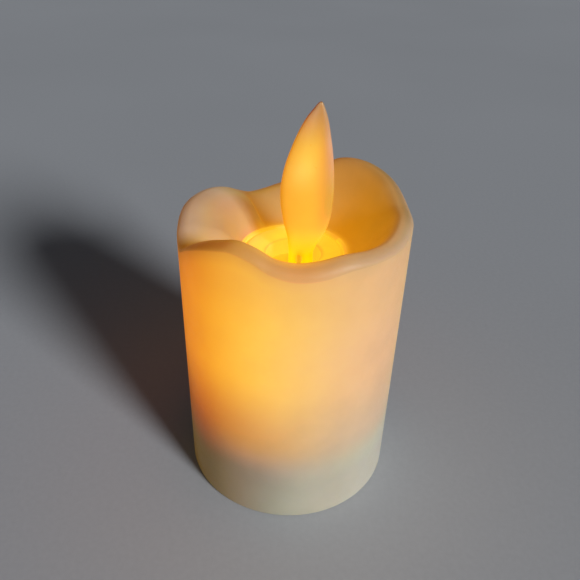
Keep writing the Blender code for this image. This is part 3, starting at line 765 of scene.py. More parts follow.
def wall_paint(az, z, wax):
    shift = 2.5 * bump(az, -45, 30)
    tint = mix(foot_tint(az, z), wax, ramp(z, 11.0 + shift, 18.5 + shift))
    crest = crest_height(az)
    near_lip = ramp(z, crest - 3.6, crest - 1.4)
    return tint, mix(wall_light(az, z), lip_light(az), 0.45 * near_lip)


def lip_paint(az, r, z, stage, wax, level, shade):
    inner = ramp(stage, 0.6, 1.0)
    dull = scaled(dull_tint(az, wax, ramp(stage, 0.3, 0.8)), level)
    # painted shade: the lip is darker on the right that is turned from the window, and its outer
    # edge a little darker round az 40, where the window's highlight falls
    lit = ((1 - (1 - shade) * ramp(stage, 0.0, 0.5))
           * (1 - 0.11 * bump(stage, 0.2, 0.3) * bump(az, 40, 40)))
    glow = mix(wall_light(az, z), lip_light(az), 0.45 + 0.55 * ramp(stage, -0.5, 0.45))
    glow = mix(glow, bowl_light(az, r), 0.55 * inner)
    # painted highlight: a cool pale light on the crest round az 62, towards the window
    rim = bump(az, 62, 30) * bump(stage, 0.34, 0.26)
    glow = patched(glow, *crest_patches(az, inner, ramp(stage, 0.35, 0.8)),
                   (rim, (0.02, 0.015, 0.055)))
    return scaled(mix(wax, dull, ramp(stage, 0.0, 0.4)), lit), glow


def bowl_paint(az, r, stage, wax, level, shade):
    down = ramp(stage, 1.0, 1.25)
    away = 1 - ramp(stage, 1.0, 1.3)
    dome_blue = 0.20 + 0.08 * ramp(r, 11, 15) - 0.05 * facing(az, -92, 22)
    pale = mix((0.50, 0.39, 0.15), (0.565, 0.445, dome_blue), dome(az))
    # painted shade: a dark crease along the back edge of the dome, in the tint and in the glow
    pale = scaled(pale, 1 - 0.40 * facing(az, -144.5, 6.0) * bump(r, 12.5, 3.8))
    crease_shade = 0.05 * facing(az, -143, 3.2) * bump(r, 12.2, 2.6)
    glow = patched(mix(lip_light(az), bowl_light(az, r), 0.55 + 0.45 * down),
                   (crease_shade, (-1, -0.3, 0)), *crest_patches(az, away, away))
    tint = mix(dull_tint(az, wax, 1.0), pale, down)
    return scaled(tint, level * (shade + (1 - shade) * down)), glow


def shell_paint(az, r, z, stage):
    """(tint, glow) of the shell at one place of its section."""
    if stage >= 2.5:
        return IVORY, (0.0, 0.0, 0.0)
    wax = wax_tint(az, z)
    if stage < 0.01:
        return wall_paint(az, z, wax)
    # painted light: the lip and bowl tint is lightest round az 42, the side that faces the window
    level = 0.88 + 0.12 * bump(az, 42, 45)
    shade = 1 - 0.18 * facing(az, 112, 20)  # the right side is turned from the window
    if stage <= 1.0:
        return lip_paint(az, r, z, stage, wax, level, shade)
    return bowl_paint(az, r, stage, wax, level, shade)


def opening_paint(az):
    """The bright edge round the opening, a painted glow over the dark gap to the deck, brightest
    at the left and front.
    """
    away = turn(az, -60)
    shine = max(1 - plateau(away, 60, 120, 150, 180) - ramp(-away, 150, 180), 0.0)
    return (0.55, 0.40, 0.12), patched((0.80, 0.33, 0.015), (shine, (0.06, 0.11, 0)))


def build_shell():
    loops, colours = [], []
    edge = [(OPENING_R + out, BOWL_FLOOR_Z - drop, 2.0) for out, drop in OPENING_EDGE]
    edge.append((OPENING_R, BOWL_FLOOR_Z - WALL, 3.0))
    for k in range(SHELL_AROUND):
        az = 360.0 * k / SHELL_AROUND - 180.0
        outer = shell_surface(az)
        inner = offset_inside(outer, len(FOOT_EDGE) + INNER_FROM_ROW, WALL)
        low = [(BODY_R - WALL, inner[0][1] * i / INNER_LOW_ROWS, 3.0)
               for i in range(INNER_LOW_ROWS)]
        loop = outer + edge + inner[::-1] + low[::-1]
        a = math.radians(az)
        loops.append([(r * math.sin(a) * MM, -r * math.cos(a) * MM, z * MM)
                      for r, z, _ in loop])
        painted = [shell_paint(az, *point) for point in loop]
        for i in range(len(outer) - 1, len(outer) + len(edge)):
            painted[i] = opening_paint(az)
        colours += painted
    obj = piece("wax_shell", loft(loops, closed_along=True), SHELL, stands_for="candle_shell",
                slot="shell_wax", sharp=50)
    write_fields(obj.data, colours)


# ------------------------------------------------------------------ the flame
def leaf_at(z):
    """Left x, right x and half thickness of the leaf at a height, smooth between stations."""
    rows = LEAF[::-1]
    heights = [row[0] for row in rows]
    last = len(rows) - 1
    z = min(max(z, heights[0]), heights[-1])
    i = max(k for k in range(last) if heights[k] <= z)
    step = heights[i + 1] - heights[i]
    out = []
    for column in (1, 2, 3):
        values = [row[column] for row in rows]

        def rate(k):
            return (values[k + 1] - values[k]) / (heights[k + 1] - heights[k])

        def slope(k):
            if k == last:  # the tip closes faster than its last step
                return rate(k - 1) * 1.6
            if k == 0 or rate(k - 1) * rate(k) <= 0:
                return 0.0
            return 2 * rate(k - 1) * rate(k) / (rate(k - 1) + rate(k))

        out.append(hermite((z - heights[i]) / step, step, values[i], values[i + 1],
                           slope(i), slope(i + 1)))
    return out


def flame_paint(x, y, z):
    """Evenly lit in the middle, yellow at the foot and in a bright spot two thirds of the way
    up, duller at the tip and pale along the edge that the window lights."""
    left, right, _ = leaf_at(z)
    u = clamp((x - left) / (right - left))  # 0 at the left edge, 1 at the right
    tip = ramp(z, 64, 73.5)
    high = ramp(z, 49, 55)
    legs = 1 - ramp(z, 45.8, 48.2)
    left_edge = high * bump(z, 55.0, 4.5) * (1 - ramp(u, 0.0, 0.34))
    right_edge = high * bump(z, 56.5, 4.5) * ramp(u, 0.62, 0.9)
    left_tip = bump(z, 70, 3) * (1 - ramp(u, 0.2, 0.7))
    red = ((0.64 - (0.06 + 0.26 * high) * ramp(u, 0.6, 1.0)) * (1 - 0.80 * tip)
           + 0.08 * left_tip - 0.13 * left_edge - 0.11 * right_edge
           - 0.14 * legs * bump(u, 0.42, 0.11))
    green = (0.185 + 0.31 * (1 - ramp(z, 46.4, 52.8))
             + 0.16 * bump(z, 63.0, 3.6) * bump(u, 0.42, 0.30))
    green *= (1 - 0.80 * high * ramp(u, 0.55, 0.97)) * (1 - 0.9 * ramp(z, 66.0, 73))
    green -= 0.01 * left_edge
    # painted shade round the eye between the legs, here in the green and above in the red; the
    # legs either side of it are yellower
    green += legs * (0.09 * (bump(u, 0.12, 0.15) + bump(u, 0.76, 0.14))
                     - 0.24 * bump(u, 0.42, 0.13))
    blue = 0.05 * bump(z, 62.5, 3.0) * bump(u, 0.40, 0.26)
    tip_tint = mix((0.60, 0.44, 0.21), (0.57, 0.33, 0.11), ramp(u, 0.3, 0.7))
    edge_tint = mix((0.56, 0.42, 0.27), (0.56, 0.36, 0.18), ramp(z, 66, 70))
    tint = mix(mix((0.607, 0.440, 0.075), tip_tint, tip), edge_tint,
               ramp(u, 0.76, 1.0) * ramp(z, 57, 67))
    return tint, (red, max(green, 0.0), blue)


def build_leaf():
    heights = LEAF_FOOT_ROWS + [STEM_LOW_Z + (STEM_TOP_Z - STEM_LOW_Z) * i / STEM_ROWS
                                for i in range(1, STEM_ROWS + 1)]
    heights += [STEM_TOP_Z + (LEAF_TIP_Z - STEM_TOP_Z) * (1 - (1 - i / LEAF_ROWS) ** 1.15)
                for i in range(LEAF_ROWS + 1)]
    rows = []
    for z in heights:
        left, right, half = leaf_at(z)
        centre, width = (left + right) / 2, (right - left) / 2
        power = 2 / (2.0 if half > 2 else 2.5)  # round at the foot, squarer above
        row = []
        for k in range(LEAF_AROUND):
            a = 2 * math.pi * k / LEAF_AROUND
            across = math.copysign(abs(math.cos(a)) ** power, math.cos(a))
            deep = math.copysign(abs(math.sin(a)) ** power, math.sin(a))
            row.append(((centre + width * across) * MM, half * deep * MM, z * MM))
        rows.append(row)
    # the eye that hangs on the wire
    half_turn = [math.pi * k / 15 for k in range(16)]
    eye = [(0.6 * math.cos(a), 45.95 + 0.6 * math.sin(a)) for a in half_turn]
    eye += [(0.6 * math.cos(math.pi + a), 44.45 + 0.55 * math.sin(math.pi + a))
            for a in half_turn]
    obj = finer("flame_leaf", "flame_plastic", loft(rows, caps=True), FLAME, body="flame",
                sharp=45, cuts=[bar_along_y(eye, 3.0)])
    paint(obj, flame_paint)


# ------------------------------------------------------------------ the deck round the flame
# (r, z): up the bore, out over the slightly rising top in DECK_TOP_STEPS, and back underneath
DECK_BORE = [(4.8, 43.6), (4.8, 46.35), (4.84, 46.5), (4.94, 46.6), (5.1, 46.66)]
DECK_RIM = [(8.45, 46.97), (8.68, 46.86), (8.82, 46.68), (8.86, 46.5), (8.86, 45.85),
            (8.75, 45.8), (7.0, 45.8), (7.0, 43.7), (6.9, 43.6)]
DECK_TOP_STEPS = 12


def deck_paint(x, y, z):
    r = math.hypot(x, y)
    az = math.degrees(math.atan2(x, -y))
    left = 0.5 - 0.5 * math.tanh((x - 1.0) / 3.5)
    bore = 1 - ramp(r, 4.82, 5.7)
    bore_shade = 0.13 + 0.10 * facing(az, -98, 36) + 0.04 * facing(az, 110, 30)
    rim = ramp(r, 6.2, 8.5) * left
    far_left = facing(az, -108, 34) * ramp(r, 4.0, 7.0)
    outer, bevel = ramp(r, 8.25, 8.65), bump(r, 4.95, 0.22)
    # painted shade: the tint is darker on the rounded outer edge and on the bore's bevel
    tint = scaled((0.60, 0.44, 0.12), (1 - 0.5 * outer) * (1 - 0.35 * bevel))
    green = (0.51 + 0.19 * left - bore_shade * bore - 0.10 * rim - 0.15 * far_left
             - (0.10 + 0.05 * left) * outer)
    return tint, (0.92 - 0.04 * bore, green, 0.014 + 0.022 * left)


def build_deck():
    top = [(5.1 + (8.1 - 5.1) * i / DECK_TOP_STEPS, 46.66 + 0.34 * (i / DECK_TOP_STEPS) ** 1.6)
           for i in range(1, DECK_TOP_STEPS + 1)]
    # the groove in which the wire lies
    angles = [math.pi * k / 12 for k in range(13)]
    groove = [(0.65, 48.5), (-0.65, 48.5)]
    groove += [(-0.65 * math.cos(a), 46.05 - 0.6 * math.sin(a)) for a in angles]
    obj = piece("deck_fine", turned_mesh(DECK_BORE + top + DECK_RIM, 144), DECK,
                stands_for="flame_deck", slot="deck_amber", sharp=40,
                cuts=[bar_along_y(groove, 6.7)])
    paint(obj, deck_paint)


# ------------------------------------------------------------------ the works inside
BOARD_R, BOARD_LOW_Z, BOARD_TOP_Z = 15.5, 12.3, 13.3
SEAT_Z = 13.6  # foot of the housing and of the parts on the board
EAR_TOP_Z = 14.8
FIXING_AZ, FIXING_R = 72, 14.1  # here the angle is counted from +X
FIXINGS = [Vector((math.cos(math.radians(FIXING_AZ)) * FIXING_R,
                   math.sin(math.radians(FIXING_AZ)) * FIXING_R * s, 0)) for s in (1, -1)]
CELL_X = -5.2
CELL_AT = (CELL_X, 0, 0)
WIRE_HALF_LENGTH, WIRE_R = 6.4, 0.35


def build_swing():
    """The wire that the flame hangs on and the magnet at its foot."""
    reach = WIRE_HALF_LENGTH - 0.25
    path = [(PIVOT_X, -reach + 2 * reach * i / 12, PIVOT_Z) for i in range(13)]
    finer("pivot_wire", "steel_wire", tube_mesh(path, WIRE_R, 24))
    magnet = drum(2.4, 25.8, 27.9, (PIVOT_X, 0, 0), steps=72, ease=0.25)
    finer("flame_magnet", "magnet_nickel", magnet, body="flame")


def build_housing():
    """The tube that holds the coil and the lamps, with its two ears."""
    tube = [(7.3, 45.4), (8.4, 45.4), (8.4, SEAT_Z), (3.0, SEAT_Z), (3.0, EAR_TOP_Z),
            (7.3, EAR_TOP_Z)]
    adds, cuts = [], []
    for s, fixing in zip((1, -1), FIXINGS):
        heading = FIXING_AZ * s
        adds.append(placed(block_mesh((6.0, -2.3, SEAT_Z), (FIXING_R, 2.3, EAR_TOP_Z), 0.15),
                           heading=heading))
        adds.append(drum(2.3, SEAT_Z, EAR_TOP_Z, fixing, steps=48, ease=0.15))
        cuts.append(drum(1.15, 12, 16, fixing, steps=36))
        adds.append(placed(block_mesh((8.0, -0.5, 14.2), (11.4, 0.5, 16.6), 0.2),
                           heading=heading))
    # a window through both sides and a slot in the floor at the left
    cuts.append(block_mesh((-10, -3.0, 29.0), (10, 3.0, 42.5), 0.6, 4, "x"))
    cuts.append(block_mesh((-7.0, -1.9, 12.0), (-5.4, 1.9, 16.0), 0.3, 3, "z"))
    finer("flame_housing", "housing_plastic", turned_mesh(eased(tube, 0.25), 128), cuts=cuts,
          adds=adds)


def build_coil():
    low, high, flange = 15.1, 25.0, 0.9
    bobbin = [(0.9, high), (5.0, high), (5.0, high - flange), (2.0, high - flange),
              (2.0, low + flange), (5.0, low + flange), (5.0, low), (0.9, low)]
    finer("coil_bobbin", "bobbin_black", turned_mesh(eased(bobbin, 0.2), 96))
    # enamelled wire laid in close turns over a solid core
    low, high, pitch, wire_r, coil_r = 16.5, 23.6, 0.36, 0.2, 4.32
    turns = int((high - low - 2 * wire_r) / pitch)
    path = []
    for i in range(turns * 40 + 1):
        a = 2 * math.pi * i / 40
        wobble = 0.02 * math.sin(a * 0.37)
        path.append((coil_r * math.cos(a), coil_r * math.sin(a),
                     low + wire_r + pitch * i / 40 + wobble))
    core = [(2.3, high - 0.1), (4.22, high - 0.15), (4.22, low + 0.15), (2.3, low + 0.1)]
    winding = joined([tube_mesh(path, wire_r, 8), turned_mesh(eased(core, 0.2), 64)])
    finer("coil_winding", "coil_copper", winding)


# (x, y) of each solder pad
PADS = [(-6.2, -0.9), (-6.2, 0.9), (-11.2, -5.3), (-11.2, -3.5), (10.0, -4.6), (10.0, 4.6),
        (5.6, 0.0), (-14.0, 0.0), (-6.9, 10.4), (-5.3, 10.4), (9.2, 4.4), (11.3, 9.4),
        (9.3, -9.2), (10.35, -9.2), (11.4, -9.2)]
# (r, z) of one pad's blob of solder
PAD_PROFILE = [(0, 13.62), (0.2, 13.6), (0.42, 13.5), (0.62, 13.4), (0.85, 13.345),
               (0.9, 13.31), (0.9, 13.28), (0, 13.28)]
# (x, y) points of each printed track
TRACK_ROUTES = [
    [(-6.2, -0.9), (-4.4, -2.6), (2.0, -2.6), (5.0, -1.9), (9.0, -1.9)],
    [(-6.2, 0.9), (-4.2, 2.8), (3.0, 2.8), (9.0, 1.9)],
    [(-11.2, -5.3), (-8.0, -8.6), (3.0, -9.8), (9.3, -9.2)],
    [(-11.2, -3.5), (-9.2, -1.6), (-9.2, 3.6), (-6.9, 8.0), (-6.9, 10.4)],
    [(10.0, -4.6), (7.4, -5.4), (7.4, -0.6), (5.6, 0.0)],
    [(10.0, 4.6), (8.2, 5.4), (3.4, 9.6), (-5.3, 10.4)],
    [(-14.0, 0.0), (-12.4, 4.4), (-8.6, 9.8), (-6.9, 10.4)],
    [(11.3, 9.4), (6.4, 12.4), (0.0, 13.2), (-5.3, 10.4)],
    [(10.35, -9.2), (11.0, -6.0), (13.4, -4.2), (13.4, -2.6)],
    [(-13.2, -4.6), (-9.4, -10.4), (-2.0, -13.4), (5.0, -12.6)],
]
# section of a track: (share of the half width, z)
TRACK_SECTION = ((1.0, 13.29), (0.86, 13.335), (-0.86, 13.335), (-1.0, 13.29))
TRACK_HALF_WIDTH = 0.32


def track(route):
    path = rounded_path(route, share=0.3, steps=(0.0, 1.0))
    rows = []
    for i, p in enumerate(path):
        along = tangent(path, i)
        across = Vector((-along.y, along.x)) * TRACK_HALF_WIDTH
        rows.append([((p.x + across.x * u) * MM, (p.y + across.y * u) * MM, z * MM)
                     for u, z in TRACK_SECTION])
    return loft(rows, caps=True)


def build_board():
    board = drum(BOARD_R, BOARD_LOW_Z, BOARD_TOP_Z, steps=160, ease=0.12)
    finer("circuit_board", "board_green", board,
          cuts=[drum(1.15, 11, 15, fixing, steps=36) for fixing in FIXINGS])
    blobs = [placed(turned_mesh(PAD_PROFILE, 28), (x, y, 0)) for x, y in PADS]
    piece("solder_pads", joined(blobs), SOLDER, sharp=60)
    piece("board_tracks", joined([track(route) for route in TRACK_ROUTES]), TRACK)


def build_chips():
    left, right = 10.2, 14.1
    chip = block_mesh((left, -2.45, SEAT_Z), (right, 2.45, SEAT_Z + 1.5), 0.18)
    dimple = placed(turned_mesh([(0, 0.2), (0.28, 0.2), (0.24, -0.12), (0, -0.12)], 24),
                    (10.85, -1.8, SEAT_Z + 1.5))
    finer("driver_ic", "chip_black", chip, cuts=[dimple])
    legs = []
    for y in (-1.8, -0.6, 0.6, 1.8):
        for x, s in ((left, -1), (right, 1)):
            # (outwards from the chip's side, z above the seat)
            bends = ((-0.1, 0.75), (0.3, 0.75), (0.45, 0.3), (0.55, -0.18), (0.95, -0.22))
            path = [(x + out * s, y, SEAT_Z + z) for out, z in bends]
            legs.append(tube_mesh(smooth_path(path, 4), 0.13, 8))
    for x in (9.3, 10.35, 11.4):
        bends = ((-7.8, 0.5), (-8.5, 0.5), (-9.0, 0.2), (-9.2, -0.15))  # (y, z above the seat)
        path = [(x, y, SEAT_Z + z) for y, z in bends]
        legs.append(tube_mesh(smooth_path(path, 4), 0.14, 8))
    piece("chip_legs", joined(legs), SOLDER)
    finer("transistor", "chip_black",
          block_mesh((8.9, -7.9, SEAT_Z), (11.8, -6.6, SEAT_Z + 1.1), 0.16))


def build_capacitor():
    at_x, at_y = -6.1, 10.4
    # (r, z above the seat), with a groove near the foot
    profile = ((0, 5.32), (1.35, 5.32), (1.55, 5.4), (1.8, 5.4), (2.0, 5.2), (2.0, 0.9),
               (1.85, 0.7), (2.0, 0.5), (2.0, 0), (0, 0))
    can = eased([(r, SEAT_Z + z) for r, z in profile], 0.12)
    at = (at_x, at_y, 0)
    vents = [placed(block_mesh((-x, -y, SEAT_Z + 5.22), (x, y, SEAT_Z + 6)), at)
             for x, y in ((1.1, 0.07), (0.07, 1.1))]
    obj = finer("capacitor", "capacitor_sleeve", placed(turned_mesh(can, 72), at),
                painted_plastic("capacitor_look", 0.3), cuts=vents)

    def sleeve(x, y, z):
        """Bare metal on top, and a dark sleeve with a pale stripe."""
        x, y = x - at_x, y - at_y
        if z > SEAT_Z + 5.15 and math.hypot(x, y) < 1.62:
            return (0.55, 0.55, 0.54), (0, 0, 0)
        striped = abs(turn(math.degrees(math.atan2(y, x)), -60)) < 24
        return ((0.55, 0.56, 0.60) if striped else (0.015, 0.02, 0.075)), (0, 0, 0)

    paint(obj, sleeve)


def build_resistor():
    # one end of the body: (r, distance from the middle)
    end = [(0, 1.72), (0.5, 1.68), (0.78, 1.52), (0.9, 1.28), (0.9, 1.0), (0.8, 0.82)]
    body = end + [(0.75, 0.7)] + [(0.75, 0.7 - 0.1 * i) for i in range(1, 14)]
    body += [(0.75, -0.7)] + [(r, -z) for r, z in reversed(end)]
    # (middle, half width, colour)
    bands = ((1.12, 0.16, (0.20, 0.05, 0.02)), (0.45, 0.13, (0.01, 0.01, 0.01)),
             (0.0, 0.13, (0.35, 0.02, 0.02)), (-1.1, 0.14, (0.42, 0.28, 0.06)))

    def banded(x, y, z):
        colours = [colour for middle, half, colour in bands if abs(z - middle) < half]
        return (colours or [(0.62, 0.44, 0.24)])[0], (0, 0, 0)

    obj = finer("resistor", "resistor_body", turned_mesh(body, 56),
                painted_plastic("resistor_look", 0.32))
    paint(obj, banded)
    axis = (Matrix.Rotation(math.radians(-55), 4, "Z")
            @ Matrix.Rotation(math.radians(90), 4, "X"))
    middle = Vector((10.2, 7.0, SEAT_Z + 0.95))
    obj.data.transform(Matrix.Translation(middle * MM) @ axis)
    along = axis.to_3x3() @ Vector((0, 0, 1))
    leads = []
    for s in (1, -1):
        start, bend = middle + along * (1.7 * s), middle + along * (2.5 * s)
        path = smooth_path([start, bend, (bend.x, bend.y, SEAT_Z - 0.25)], 5)
        leads.append(tube_mesh(path, 0.2, 12))
    piece("resistor_leads", joined(leads), SOLDER)


# (r, z) of a lamp's lens and flange
LAMP = [(0, 5.2), (0.3, 5.17), (0.6, 5.07), (0.9, 4.88), (1.15, 4.6), (1.35, 4.25),
        (1.46, 3.9), (1.5, 3.6), (1.5, 1.05), (1.56, 1.0), (1.82, 1.0), (1.9, 0.92),
        (1.9, 0.08), (1.82, 0.0), (0, 0.0)]
GLOW_LED_X, GLOW_LED_Y = -11.2, -4.4


def build_lamps():
    # (node, place, lean about Y in degrees)
    for node, at, lean in (("flame_led", (-5.1, 0, 34.6), 10),
                           ("glow_led", (GLOW_LED_X, GLOW_LED_Y, 21.0), 0)):
        flat = block_mesh((-3, 1.6, -1), (3, 3, 0.99))
        obj = finer(node, "led_lens", turned_mesh(LAMP, 64), cuts=[flat])
        obj.data.transform(Matrix.Translation(Vector(at) * MM)
                           @ Matrix.Rotation(math.radians(lean), 4, "Y"))
    for tag, y in (("anode", -0.9), ("cathode", 0.9)):
        bends = ((-5.35, 34.3), (-5.5, 32.5), (-6.1, 29.5), (-6.2, 24.0), (-6.2, 13.5))  # (x, z)
        flame_lead = [(x, y, z) for x, z in bends]
        glow_lead = [(GLOW_LED_X, GLOW_LED_Y + y, z) for z in (20.85, 17.0, 13.5)]
        for lamp, path in (("flame", flame_lead), ("glow", glow_lead)):
            finer(f"{lamp}_led_{tag}", "contact_metal", tube_mesh(smooth_path(path), 0.25, 16))


def build_screws():
    """Pan heads with a cross recess, threaded below."""
    head_z = SEAT_Z + 1.5
    # (r, z above the underside of the head)
    head = ((0, 1.1), (0.5, 1.09), (1.0, 1.03), (1.35, 0.9), (1.62, 0.66), (1.77, 0.3),
            (1.8, 0.04), (1.76, 0))
    outline = [(r, head_z + z) for r, z in head] + [(0.8, head_z)]
    z = head_z
    while z > 6.6:
        outline += [(0.78, z - 0.1), (0.98, z - 0.28), (0.78, z - 0.46)]
        z -= 0.5
    outline += [(0.45, 5.7), (0.2, 5.6), (0, 5.58)]
    for i, fixing in enumerate(FIXINGS):
        cuts = [placed(block_mesh((-x, -y, head_z + 0.4), (x, y, head_z + 2), 0.05), fixing)
                for x, y in ((0.92, 0.17), (0.17, 0.92))]
        finer(f"module_screw_{i + 1}", "screw_steel", placed(turned_mesh(outline, 48), fixing),
              cuts=cuts)


# ------------------------------------------------------------------ the base, cell and switch
def cell_arc(inner_r, outer_r, start, end, low, high, steps=24):
    """Part of a ring about the cell's axis, between angles counted from +X."""
    rows = []
    for i in range(steps + 1):
        a = math.radians(start + (end - start) * i / steps)
        rows.append([((r * math.cos(a) + CELL_X) * MM, r * math.sin(a) * MM, z * MM)
                     for r, z in ((inner_r, low), (outer_r, low), (outer_r, high),
                                  (inner_r, high))])
    return loft(rows, caps=True)


def build_base_cup():
    cup = [(0, 2.3), (17.2, 2.3), (17.2, 12.0), (18.3, 12.0), (18.3, 0.8), (0, 0.8)]
    # the round wall of the cell's well, and the well and door recess cut in it
    adds = [drum(12.4, 1.9, 8.6, CELL_AT, ease=0.3)]
    cuts = [drum(10.35, 1.8, 7.6, CELL_AT, ease=0.2), drum(11.5, -0.2, 2.5, CELL_AT)]
    for fixing in FIXINGS:
        adds.append(drum(2.2, 1.9, 12.0, fixing, steps=48, ease=0.15))
        cuts.append(drum(1.1, 5.0, 13.0, fixing, steps=32))
    for heading in (25, 155, 205, 335):
        rib = block_mesh((13.5, -0.45, 2.0), (17.4, 0.45, 9.0), 0.12)
        adds.append(placed(rib, heading=heading))
    # the tracks and entries of the door's two lugs
    for middle in (90.0, 270.0):
        start, end = middle - 9, middle + 35 + 9
        cuts.append(cell_arc(10.9, 12.35, start, end, 1.3, 2.5))
        cuts.append(cell_arc(10.9, 12.35, end - 18, end, -0.2, 2.3))
    # openings for the switch knob and the two contacts
    cuts.append(block_mesh((10.5, -3.2, -0.2), (13.5, 3.2, 3.3), 0.4, 3, "z"))
    cuts.append(block_mesh((4.9, -2.5, 2.9), (6.5, 2.5, 9.6)))
    cuts.append(block_mesh((-15.0, -2.5, 7.3), (-13.1, 2.5, 9.6)))
    # four shallow round recesses underneath
    for x, y in ((14.6, 8.0), (14.6, -8.0), (9.4, 13.2), (9.4, -13.2)):
        cuts.append(drum(0.9, 0.0, 0.9, (x, y, 0), steps=32))
    finer("base_cup", "base_plastic", turned_mesh(eased(cup, 0.3), 160), cuts=cuts, adds=adds)


def build_cell():
    """The coin cell, with its crimped gasket line."""
    profile = [(0, 5.92), (6.2, 5.92), (6.5, 6.0), (8.7, 6.0), (8.95, 5.85), (9.0, 5.65),
               (9.12, 5.55), (9.3, 5.6), (9.6, 5.6), (10.0, 5.2), (10.0, 3.05), (9.75, 2.8),
               (7.6, 2.8), (7.4, 2.86), (0, 2.86)]
    finer("coin_cell", "cell_can", placed(turned_mesh(eased(profile, 0.12), 160), CELL_AT))


# (x, z) path of each spring contact
CONTACTS = {
    "contact_positive": [(5.6, 3.2), (5.28, 4.5), (5.6, 5.8), (5.6, 8.0), (5.6, 12.0)],
    "contact_negative": [(-2.0, 6.75), (-4.5, 6.46), (-8.0, 7.05), (-11.0, 7.05),
                         (-14.0, 7.05), (-14.0, 9.5), (-14.0, 12.0)],
}
# section of a contact's strip: (share of the half thickness, y)
CONTACT_SECTION = [(1, -1.92), (1, 1.92), (0.5, 2.0), (-0.5, 2.0), (-1, 1.92), (-1, -1.92),
                   (-0.5, -2.0), (0.5, -2.0)]
CONTACT_HALF_THICKNESS = 0.15


def build_contacts():
    for node, points in CONTACTS.items():
        path = rounded_path(points, share=0.42, steps=(0.0, 0.25, 0.5, 0.75, 1.0), longest=1.6)
        rows = []
        for i, p in enumerate(path):
            along = tangent(path, i)
            out = Vector((-along.y, along.x)) * CONTACT_HALF_THICKNESS
            rows.append([((p.x + out.x * u) * MM, y * MM, (p.y + out.y * u) * MM)
                         for u, y in CONTACT_SECTION])
        finer(node, "contact_metal", loft(rows, caps=True), sharp=50)


def build_door():
    """The twist door: coin slot with round ends, grip dimples and two bayonet lugs."""
    profile = [(0, 2.45), (8.4, 2.45), (8.8, 2.15), (11.1, 2.15), (11.1, 0.95), (0, 0.95)]
    door = placed(turned_mesh(eased(profile, 0.2), 144), CELL_AT)
    lugs = [cell_arc(10.5, 12.05, middle - 6, middle + 6, 1.6, 2.15, 12)
            for middle in (90.0, 270.0)]
    slot = block_mesh((CELL_X - 6.0, -0.9, 0.2), (CELL_X + 6.0, 0.9, 1.55), 0.85, 5, "z")
    angles = [2 * math.pi * k / 96 for k in range(96)]
    groove = [[((CELL_X + r * math.cos(a)) * MM, r * math.sin(a) * MM, z * MM) for a in angles]
              for r, z in ((9.3, 0.7), (9.3, 1.08), (9.7, 1.08), (9.7, 0.7))]
    cuts = [slot, loft(groove, closed_along=True)]
    for a in map(math.radians, (45, 135, 225, 315)):
        at = (CELL_X + 7.0 * math.cos(a), 7.0 * math.sin(a), 0)
        cuts.append(drum(1.05, 0.2, 1.15, at, steps=32))
    finer("battery_door", "door_plastic", door, body="battery_door", cuts=cuts, adds=lugs)


def build_switch():
    """The slide switch, its ribbed knob and the two wires."""
    channel = block_mesh((10.6, -3.0, 1.5), (13.4, 3.0, 5.0), 0.2, 3, "z")
    tabs = [block_mesh((11.3, s * 2.6 - 0.35, 6.0), (12.7, s * 2.6 + 0.35, 6.75), 0.1)
            for s in (-1, 1)]
    finer("slide_switch", "switch_black",
          block_mesh((10.1, -4.4, 2.65), (13.9, 4.4, 6.3), 0.25, 4), cuts=[channel], adds=tabs)
    grooves = [block_mesh((9, -1.0 + 0.55 * i - 0.13, -0.5), (15, -1.0 + 0.55 * i + 0.13, 0.6))
               for i in (-2, -1, 0, 1, 2)]
    finer("switch_knob", "knob_black", block_mesh((10.95, -2.3, 0.3), (13.05, 0.3, 4.7), 0.2, 4),
          body="switch_knob", cuts=grooves)
    bends = ((12.0, 2.6, 6.5), (12.0, 2.62, 8.0), (11.4, 3.2, 9.4), (10.2, 4.5, 10.4),
             (10.0, 4.6, 12.0))
    for wire, s in (("wire_red", -1), ("wire_black", 1)):
        path = smooth_path([(x, y * s, z) for x, y, z in bends])
        finer(wire, wire, tube_mesh(path, 0.45, 18))


# ------------------------------------------------------------------ stage, in metres
FLOOR_R, SWEEP_R, SWEEP_TOP_Z = 1.9, 0.7, 2.2
SHEET_DROP = 0.00005  # keeps the floor just under the candle
PAPER = (0.565, 0.578, 0.607)


def floor_paper():
    """One paper colour with only its own fibre and slight drift."""
    look = Look("floor_paper", 0.75)
    where = look.position(1.0, 1.0, 1.0)
    fibre = look.noise(where, scale=900.0, detail=4.0, roughness=0.6)
    drift = look.noise(where, scale=5.0, detail=2.0)
    plain = look.add("RGB")
    plain.outputs[0].default_value = (*PAPER, 1.0)
    paper = look.multiply(plain.outputs[0], look.fit(drift, 0.97, 1.03))
    look.feed("Base Color", look.multiply(paper, look.fit(fibre, 0.975, 1.025)))
    look.set(Specular_IOR_Level=0.0)
    return look.material


def backdrop_paper():
    """Lit by its own emission alone, lighter with height."""
    look = Look("backdrop_paper", 0.9)
    where = look.position(1.0, 1.0, 1.0)
    height = look.fit(look.height_of(where), 0.0, 1.0, span=(0.0, 1.4))
    rise = look.gradient(height, (0.184, 0.196, 0.213), (0.33, 0.35, 0.385),
                         interpolation="EASE")
    even = look.fit(look.noise(where, scale=1.2, detail=3.0), 0.96, 1.04)
    look.glow(look.multiply(rise, even))
    fibre = look.noise(where, scale=900.0, detail=4.0, roughness=0.6)
    look.feed("Roughness", look.fit(fibre, 0.85, 0.95))
    look.set(Base_Color=(0.0, 0.0, 0.0, 1.0), Specular_IOR_Level=0.0)
    return look.material


